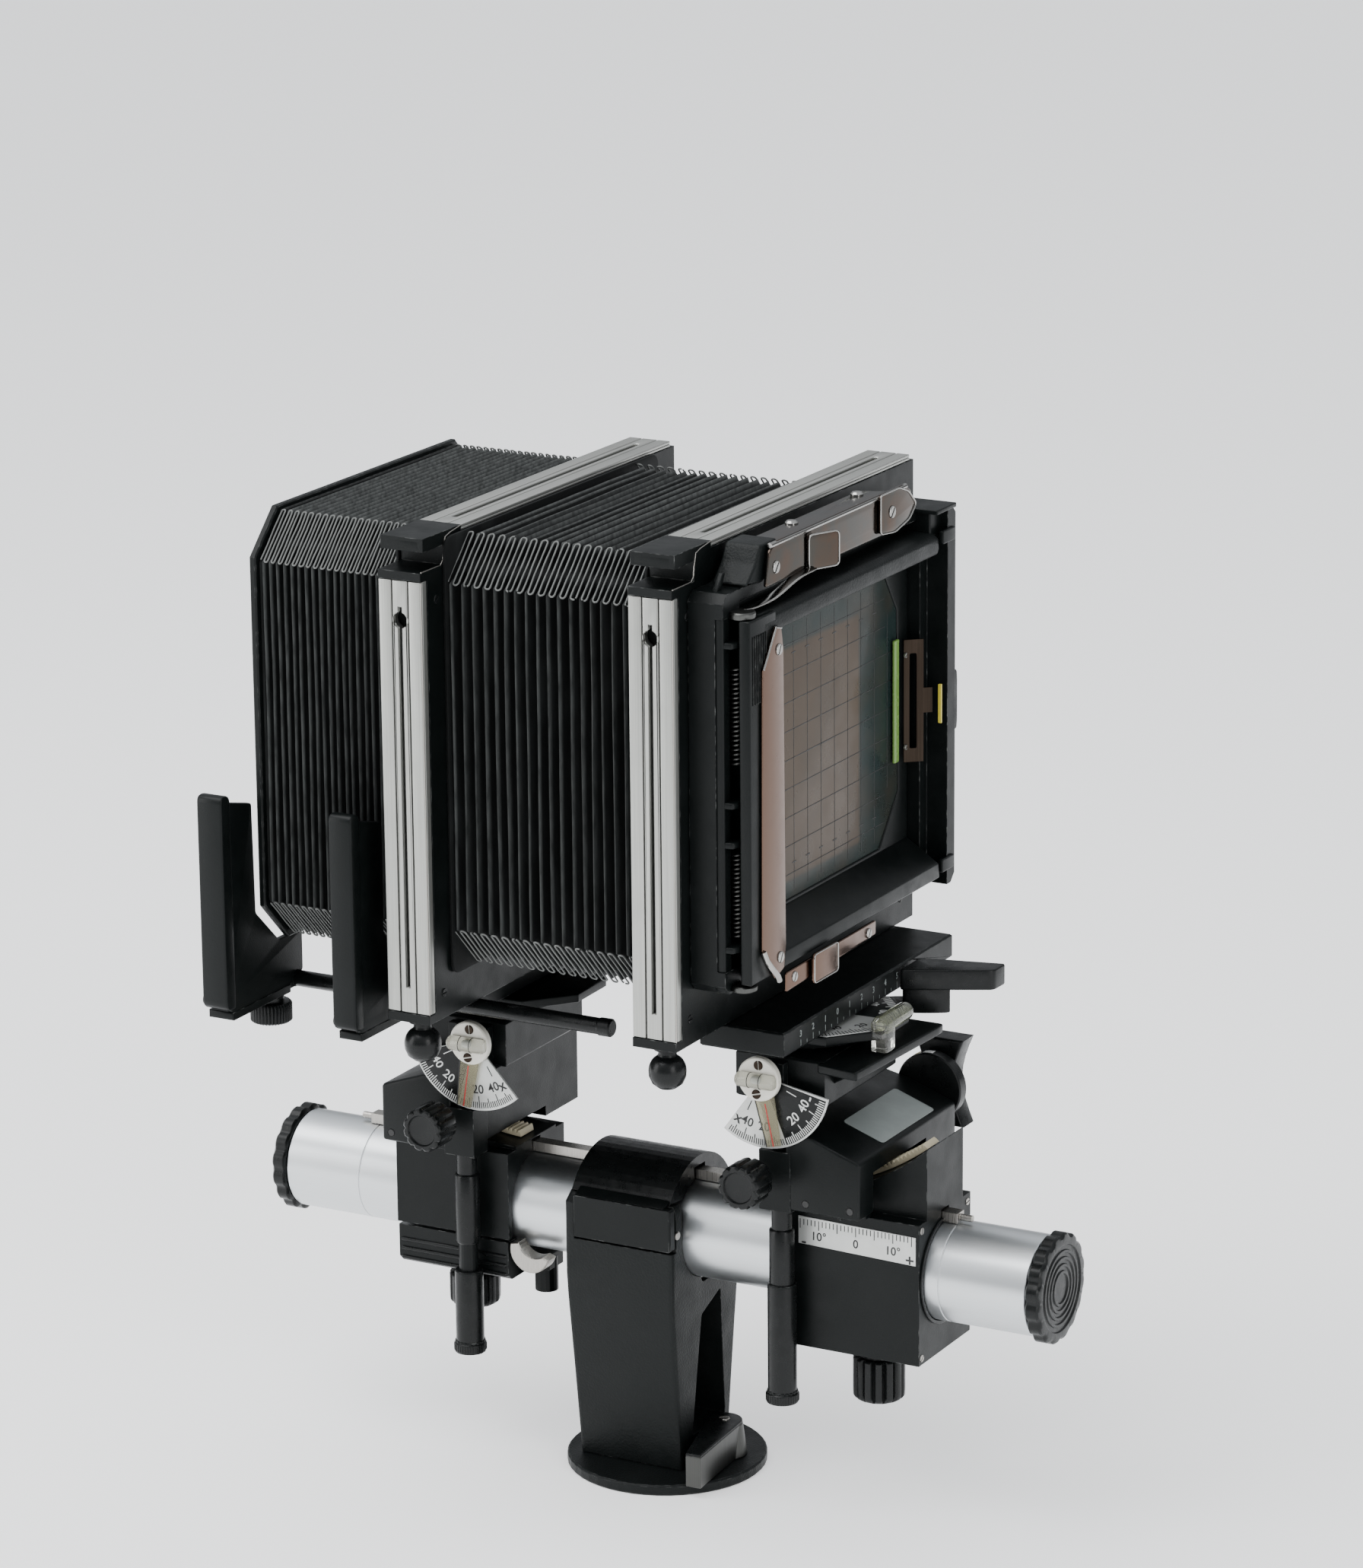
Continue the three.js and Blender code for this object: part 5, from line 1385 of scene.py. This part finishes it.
# ---- the spring back ----
def make_back():
    """The glass with its frame and grid, and the bright strip and clips beside it."""
    surround, body = Box("glass_frame"), "glass"
    x0 = surround.x0
    window = [(-59.5, 228), (-59.5, 309), (-52, 319.8), (47.6, 319.8), (57.6, 305), (58.6, 240), (44, 222.6),
              (-52, 222.6)]
    outer = rectangle(surround.y0, surround.y1, surround.z0, surround.z1, 2)
    made = plate_piece("glass_surround", "X", outer, x0, x0 + 4.2, BLACK, body, "black_paint", 0.5, [window])
    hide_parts("glass_frame")
    bar = [(x0 + 3.6, 325.6), (74.2, 324.2), (74.8, 326.5), (74.6, 330.2), (72.4, 331.8), (x0 + 3.6, 332.2)]
    prism_solid("glass_top_bar", "Y", bar, -64.5, 65.3, CAST, body, 0.9)
    ledge = [(x0 + 3.4, 221.6), (x0 + 4.4, 221.6), (75.0, 213.6), (75.4, 208.4), (x0 + 3.4, 208.2)]
    prism_solid("glass_bottom_ledge", "Y", ledge, -58.5, 65.0, BLACK, body, 0.7)
    side = [(x0 + 0.1, -60.2), (x0 + 0.1, -65.8), (70.6, -65.8), (70.6, -74.6), (74.7, -74.6), (74.7, -56.0),
            (70.0, -56.0)]
    prism_solid("glass_side_wall", "Z", side, 207.6, 331.4, BLACK, body, 0.5)
    for number in range(7):
        y = -72.4 + number * 1.5
        tube_piece(f"side_wall_rib_{number}", [(74.8, y, 303), (74.8, y, 326)], 0.3, BLACK, body)

    screen = Box("ground_glass")
    outline = [(-60.6, 222.4), (-60.6, 320.2), (47.9, 320.2), (58.2, 305.2), (59.4, 240), (44.4, 222.4)]
    made = plate_piece("glass_screen", "X", outline, screen.x0, screen.x1, GLASS_PAINTED_REFLECTION, body, "ground_glass", 0.25)
    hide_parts("ground_glass")
    dial = Dial((screen.x1 + 0.02, 0.9, 271), (0, 1, 0), (0, 0, 1))
    strokes = []
    for k in range(-5, 6):
        strokes.append(((10 * k, -46), (10 * k, 46)) if k < 5 else ((10 * k, -28), (10 * k, 34)))
    for k in range(-4, 5):
        strokes.append(((-58, 10 * k), (55.5 if abs(k) < 3 else 48, 10 * k)))
    dial.marks("glass_grid", strokes, 0.3, MARKS, body, "ground_glass", 0.03)
    dial.marks("glass_cross", [((-11, 0), (11, 0)), ((0, -13), (0, 13))], 0.42, MARKS, body, "ground_glass",
               0.04)
    ticks = [((10 * k - 1.4, level), (10 * k + 1.4, level)) for k in range(-5, 5) for level in (-36.5, 36.5)]
    dial.marks("glass_ticks", ticks, 0.5, MARKS, body, "ground_glass", 0.04)

    strip = [(-68.6, 218.2), (-67.6, 313.4), (-58.4, 326.4), (-54.2, 325.4), (-52.8, 318), (-51.9, 216),
             (-53.2, 208.6),
             (-59.3, 206.4)]
    made = plate_piece("glass_clip_strip", "X", strip, 74.9, 75.8, COPPERY, body, "bright_plate", 0.3)
    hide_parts("glass_strip")
    tube_piece("clip_strip_edge", [(75.85, -67.2, 313.8), (75.85, -58.3, 326.3), (75.85, -54.6, 325.4)], 0.42,
               CHROME, body)
    hook = [(75.8, -68.2, 218), (76.6, -67.2, 214.6), (77.6, -65.0, 211.4), (78.0, -62.4, 208.6),
            (78.0, -61.0, 206.4)]
    tube_piece("clip_strip_hook", hook, 1.0, CHROME, body)
    for number, (y, z) in enumerate(((-56.2, 318.5), (-56.0, 213.0))):
        screw(f"clip_strip_screw_{number}", (75.85, y, z), "X", 1, 2.0, CHROME, body, 60)

    slope = Dial((63.2, 60.4, 272), (0.76, 0.65, 0), (0, 0, 1))
    clip = [(0, -22), (0, 22), (7.2, 22), (7.2, 4.5), (10.4, 4.5), (10.4, -4.5), (7.2, -4.5), (7.2, -22)]
    slots = [rectangle(2.2, 4.6, -17, 17, 0.6)]
    slope.plate("side_clip", clip, 0, 0.9, RUST, body, "plain_steel", 0.15, slots)
    for number, b in enumerate((-16.5, 16.5)):
        spot = slope.at(1.0, b, 1.0)
        screw(f"side_clip_screw_{number}", tuple(spot), "X", 1, 1.0, STEEL, body, 20)
    tab = [(74.0, 66.0), (75.2, 66.0), (75.2, 66.8), (74.0, 66.8)]
    plate_piece("side_clip_tab", "Z", tab, 264, 278, YELLOW, body, "plain_steel", 0.2)
    plate_piece("side_glow_strip", "X", rectangle(53.4, 57.0, 251, 295, 0.5), 62.5, 63.5, GREEN, body,
                "clear_acrylic", 0.3)


def make_back_top():
    """The polished top plate with its flange, tab and bent arm, and the black plates beside it."""
    body = "glass"
    shape = [(-57.4, 339.0), (44.5, 338.6), (50.2, 343), (49.2, 350.2), (44, 353.2), (-50, 353.2),
             (-54.6, 350.4)]
    made = plate_piece("back_plate", "X", rounded(shape, 1.0), 70.6, 71.8, MIRROR, body, "bright_plate", 0.4)
    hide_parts("back_top_plate")
    end = [(24, 339.8), (24, 353.2), (38, 353.3), (45, 350.8), (51, 345.3), (46, 341), (35, 338.6)]
    plate_piece("back_plate_end", "X", rounded(end, 1.5), 71.9, 72.8, MIRROR, body, "bright_plate", 0.35)
    rim = [(72.85, y, z) for y, z in rounded(end, 1.5)]
    tube_piece("back_plate_end_rim", rim, 0.32, CHROME, body, True)
    flange = rounded([(60.5, -48), (70.8, -50), (70.8, 36), (60.5, 32)], 1.5)
    plate_piece("back_plate_flange", "Z", flange, 351.2, 352.3, MIRROR, body, "bright_plate", 0.35)
    tube_piece("back_plate_bend", [(71.2, -53.6, 352.2), (71.2, 46, 352.2)], 0.95, CHROME, body)
    for number, (y, z) in enumerate(((-50.5, 344.5), (32.5, 346.0))):
        screw(f"back_plate_screw_{number}", (71.9 + number, y, z), "X", 1, 2.2, CHROME, body,
              50)
    for number, y in enumerate((-22, 26)):
        head = [(2.3, -0.2), (2.3, 0.4), (1.6, 1.1), (0.4, 1.3)]
        turned(f"back_plate_stud_{number}", "Z", (62.8, y, 352.3), head, CHROME, body, "plain_steel", 24)
    tab = Dial((74.4, -22.5, 344.8), (0.42, 0.9, 0), (0, 0, 1))
    tab.plate("release_tab", rectangle(-6.6, 6.6, -6.2, 6.2, 2.0), 0.2, 1.2, MIRROR, body, "bright_plate",
              0.35)
    rim = [tab.at(a, b, 1.2) for a, b in rectangle(-6.3, 6.3, -5.9, 5.9, 1.8)]
    tube_piece("release_tab_rim", rim, 0.3, CHROME, body, True)
    turned("release_disc", "Z", (69.6, -70.2, 331.6),
           [(4.4, 0), (4.6, 0.4), (4.6, 1.8), (4.2, 2.3), (1.4, 2.4)],
           GUNMETAL, body, "bright_plate", 40)
    line = [(69.6, -70, 333.4), (70.4, -62, 333.4), (71.4, -54, 334.0), (72.4, -47, 336.4),
            (73.0, -40, 338.4),
            (73.4, -33, 338.8), (73.8, -27, 339.0)]
    vertices = []
    for x, y, z in line:
        vertices += [(x - 2.2, y, z), (x + 2.2, y + 1.2, z), (x - 2.2, y, z + 0.9),
                     (x + 2.2, y + 1.2, z + 0.9)]
    faces = []
    for i in range(len(line) - 1):
        a, b = 4 * i, 4 * i + 4
        faces += [(a, a + 1, b + 1, b), (a + 2, b + 2, b + 3, a + 3), (a, b, b + 2, a + 2),
                  (a + 1, a + 3, b + 3, b + 1)]
    faces += [(0, 2, 3, 1), (len(vertices) - 4, len(vertices) - 3, len(vertices) - 1, len(vertices) - 2)]
    arm = piece("release_arm", vertices, faces, CHROME, None)
    smooth = arm.modifiers.new("smooth", "SUBSURF")
    smooth.levels = smooth.render_levels = 2
    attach(arm, body)

    body = "rear_standard"
    bracket = rounded([(-66.5, 341), (-60, 347), (-56.5, 352.8), (-45, 353), (-45, 343), (-56, 340)], 1.2)
    plate_piece("holder_ear", "X", bracket, 56.4, 69.4, CAST, body, "black_paint", 0.8)
    shelf = [(-77.8, 335.0), (-77.8, 337.2), (-52, 343.4), (-50, 341.4)]
    prism_solid("holder_shelf", "X", shelf, 54.2, 66.4, CAST, body, 0.5)
    rib = [(-73.5, 337.6), (-72.2, 341), (-68.5, 345.2), (-66.8, 345), (-70.5, 337.8)]
    prism_solid("holder_rib", "X", rib, 60.0, 61.8, CAST, body, 0.3)
    hook = [(57.5, 338.9), (75.6, 338.9), (75.6, 340.6), (57.5, 340.6)]
    prism_solid("holder_hook", "Y", hook, 62, 77, BLACK, body, 0.4)
    post = rectangle(63.5, 72.5, 330.5, 340.0, 1.0)
    plate_piece("holder_hook_post", "X", post, 60, 72, BLACK, body, "black_paint", 0.6)


def make_back_bottom():
    """The bright catch under the glass, and the holder's small plates and side bulge."""
    body = "glass"
    plate_piece("catch_plate", "X", rounded([(-52, 199.6), (14, 201.8), (14, 206.8), (-52, 206.4)], 0.8),
                75.0, 76.0,
                COPPERY, body, "bright_plate", 0.3)
    plate_piece("catch_tab", "X", rectangle(-35.5, -17.5, 197.8, 208.4, 1.6), 76.6, 77.7, COPPERY, body,
                "bright_plate", 0.35)
    rim = [(77.75, y, z) for y, z in rectangle(-35.2, -17.8, 198.1, 208.1, 1.5)]
    tube_piece("catch_tab_rim", rim, 0.28, CHROME, body, True)
    for number, y in enumerate((-46.5, 8.5)):
        screw(f"catch_screw_{number}", (76.1, y, 203.6), "X", 1, 1.8, CHROME, body, 60)
    turned("catch_disc", "Z", (69.6, -70.2, 204.6), [(4.2, 0), (4.5, 0.4), (4.5, 1.6), (4.0, 2.0)], GUNMETAL,
           body,
           "bright_plate", 40)
    body = "rear_standard"
    bulge = rounded([(74.6, 258), (74.6, 282), (80.0, 280), (80.4, 277), (80.4, 262), (80.0, 259)], 0.8)
    plate_piece("holder_bulge", "X", bulge, 62, 74.6, BLACK, body, "black_paint", 0.5)
    for number, z in enumerate((212, 330)):
        plate_piece(f"holder_foot_{number}", "X", rectangle(66.8, 76.2, z - 2.4, z + 2.4, 0.8), 73.8, 75.6,
                    BLACK, body,
                    "black_paint", 0.4)
    wall = rectangle(-77.5, -72.5, 205, 338, 1.2)
    plate_piece("holder_left_lip", "X", wall, 62.5, 66.4, BLACK, body, "black_paint", 0.8)
    for number, z in enumerate((218.5, 254.5, 268, 322)):
        arm = rounded([(64.5, -77.2), (69.2, -76.6), (70.4, -72.6), (69.4, -67.2), (64.5, -66.4)], 1.0)
        plate_piece(f"spring_arm_{number}", "Z", arm, z, z + 2.2, BLACK, "glass", "black_paint", 0.5)
    dial = Dial((Box("rear_shift_bar").x1 + 0.03, -13.8, 180.9), (0, 1, 0), (0, 0, 1))
    strokes = [((9.05 * k / 2, -3.4), (9.05 * k / 2, -2.2 if k % 2 else -1.2)) for k in range(-6, 15)]
    dial.marks("shift_ticks", strokes, 0.22, GREY, body, "scale_plate", 0.03)
    for k in range(-3, 8):
        dial.text(f"shift_number_{k + 3}", str(abs(k)), 3.2, 9.05 * k, 0.9, GREY, body, "scale_plate", 0,
                  0.03)


# ---- the hood's two brackets ----
def make_hood_trim():
    """The two brackets of the hood, the thumb knob and the rod."""
    for side, body in (("front", "hood"), ("rear", "front_standard")):
        node = Box(f"hood_{side}_bracket")
        rim = rounded([(-95.5, 176.5, 3.5), (-95.5, 253, 2.5), (-89.6, 253, 3.0), (-89.6, 200, 0.5),
                       (-89.6, 176.5, 1.0)])
        made = plate_piece(f"hood_{side}_rim", "X", rim, node.x0, node.x1, BLACK, body, "black_paint", 0.7)
        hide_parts(f"hood_{side}_bracket")
        web = [(-93.5, 178, 2), (-93.5, 251, 1), (-76, 246.5, 1), (-75.2, 207, 1), (-61, 193.6, 1),
               (-46, 193.6, 1),
               (-46, 178.5, 1), (-60, 173, 1), (-84, 172.6, 2), (-91, 174.5, 2)]
        plate_piece(f"hood_{side}_web", "X", rounded(web), node.x1 - 2.4, node.x1 - 0.2, BLACK, body,
                    "black_paint", 0.5,
                    [ring(-50, 176.4, 3.2, 24)])
        foot = [(node.x0, 172.6), (node.x1, 172.6), (node.x1, 175.4), (node.x0, 175.4)]
        plate_piece(f"hood_{side}_foot", "Y", foot, -92, -54.5, BLACK, body, "black_paint", 0.6)
        for number, (start,
                     end) in enumerate((((-90, 183), (-80, 204)), ((-88, 179), (-72, 186)),
                                        ((-90, 248), (-84, 205)))):
            path = [(node.x1 - 2.6, *start), (node.x1 - 2.6, *end)]
            tube_piece(f"hood_{side}_rib_{number}", path, 0.9, BLACK, body)
        screw(f"hood_{side}_screw", (node.x1 - 2.3, -86.5, 181.5), "X", 1, 1.9, STEEL, body,
              30)
        screw(f"hood_{side}_front_screw", (node.x0 + 7.6, -86.5, 181.5), "X", -1, 1.9, STEEL, body,
              30)
        turned(f"hood_{side}_pin", "X", (node.x0 + 0.2, -92.6, 179.6), [(1.6, -0.9), (2.2, -0.6), (2.2, 0.4)],
               PLASTIC,
               body, "black_plastic", 24)
    knob = Box("hood_thumb_knob")
    profile = [(6.6, 0), (7.4, 0.6), (7.4, 6.4), (6.8, 7.2), (4.6, 7.4, 1), (4.6, 9.0, 1)]
    made = turned("hood_thumb_grip", "Z", (knob.x, knob.y, knob.z0), profile, PLASTIC, "thumb_knob",
                  "black_plastic",
                  0, 36, 0.45, 2)
    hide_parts("hood_thumb_knob")
    rod = Box("hood_rod")
    profile = [(2.0, rod.x0), (2.8, rod.x0 + 0.8), (2.9, rod.x0 + 1), (2.9, rod.x1 - 5), (3.2, rod.x1 - 4.6),
               (3.2, rod.x1 - 0.5), (2.7, rod.x1)]
    made = turned("hood_bar", "X", (0, rod.y, rod.z), profile, PLASTIC, "front_standard", "black_paint", 24)
    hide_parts("hood_rod")


make_camera()
make_studio()
make_bellows()
for standard, fan_lean in (("front", -15.5), ("rear", 22.0)):
    make_strips(standard)
    make_frame_trim(standard)
    make_fan(standard, fan_lean)
    make_level(standard, fan_lean)
    make_knobs(standard)
    make_tilt_knob(standard)
    make_lift(standard)
make_rail()
make_carriage_trim()
make_housings()
make_tower()
make_springs()
make_racks()
make_bearer_bar()
for standard in ("front", "rear"):
    make_swing_table(standard)
make_swing_lever()
make_ball_knobs()
make_back()
make_back_top()
make_back_bottom()
make_hood_trim()
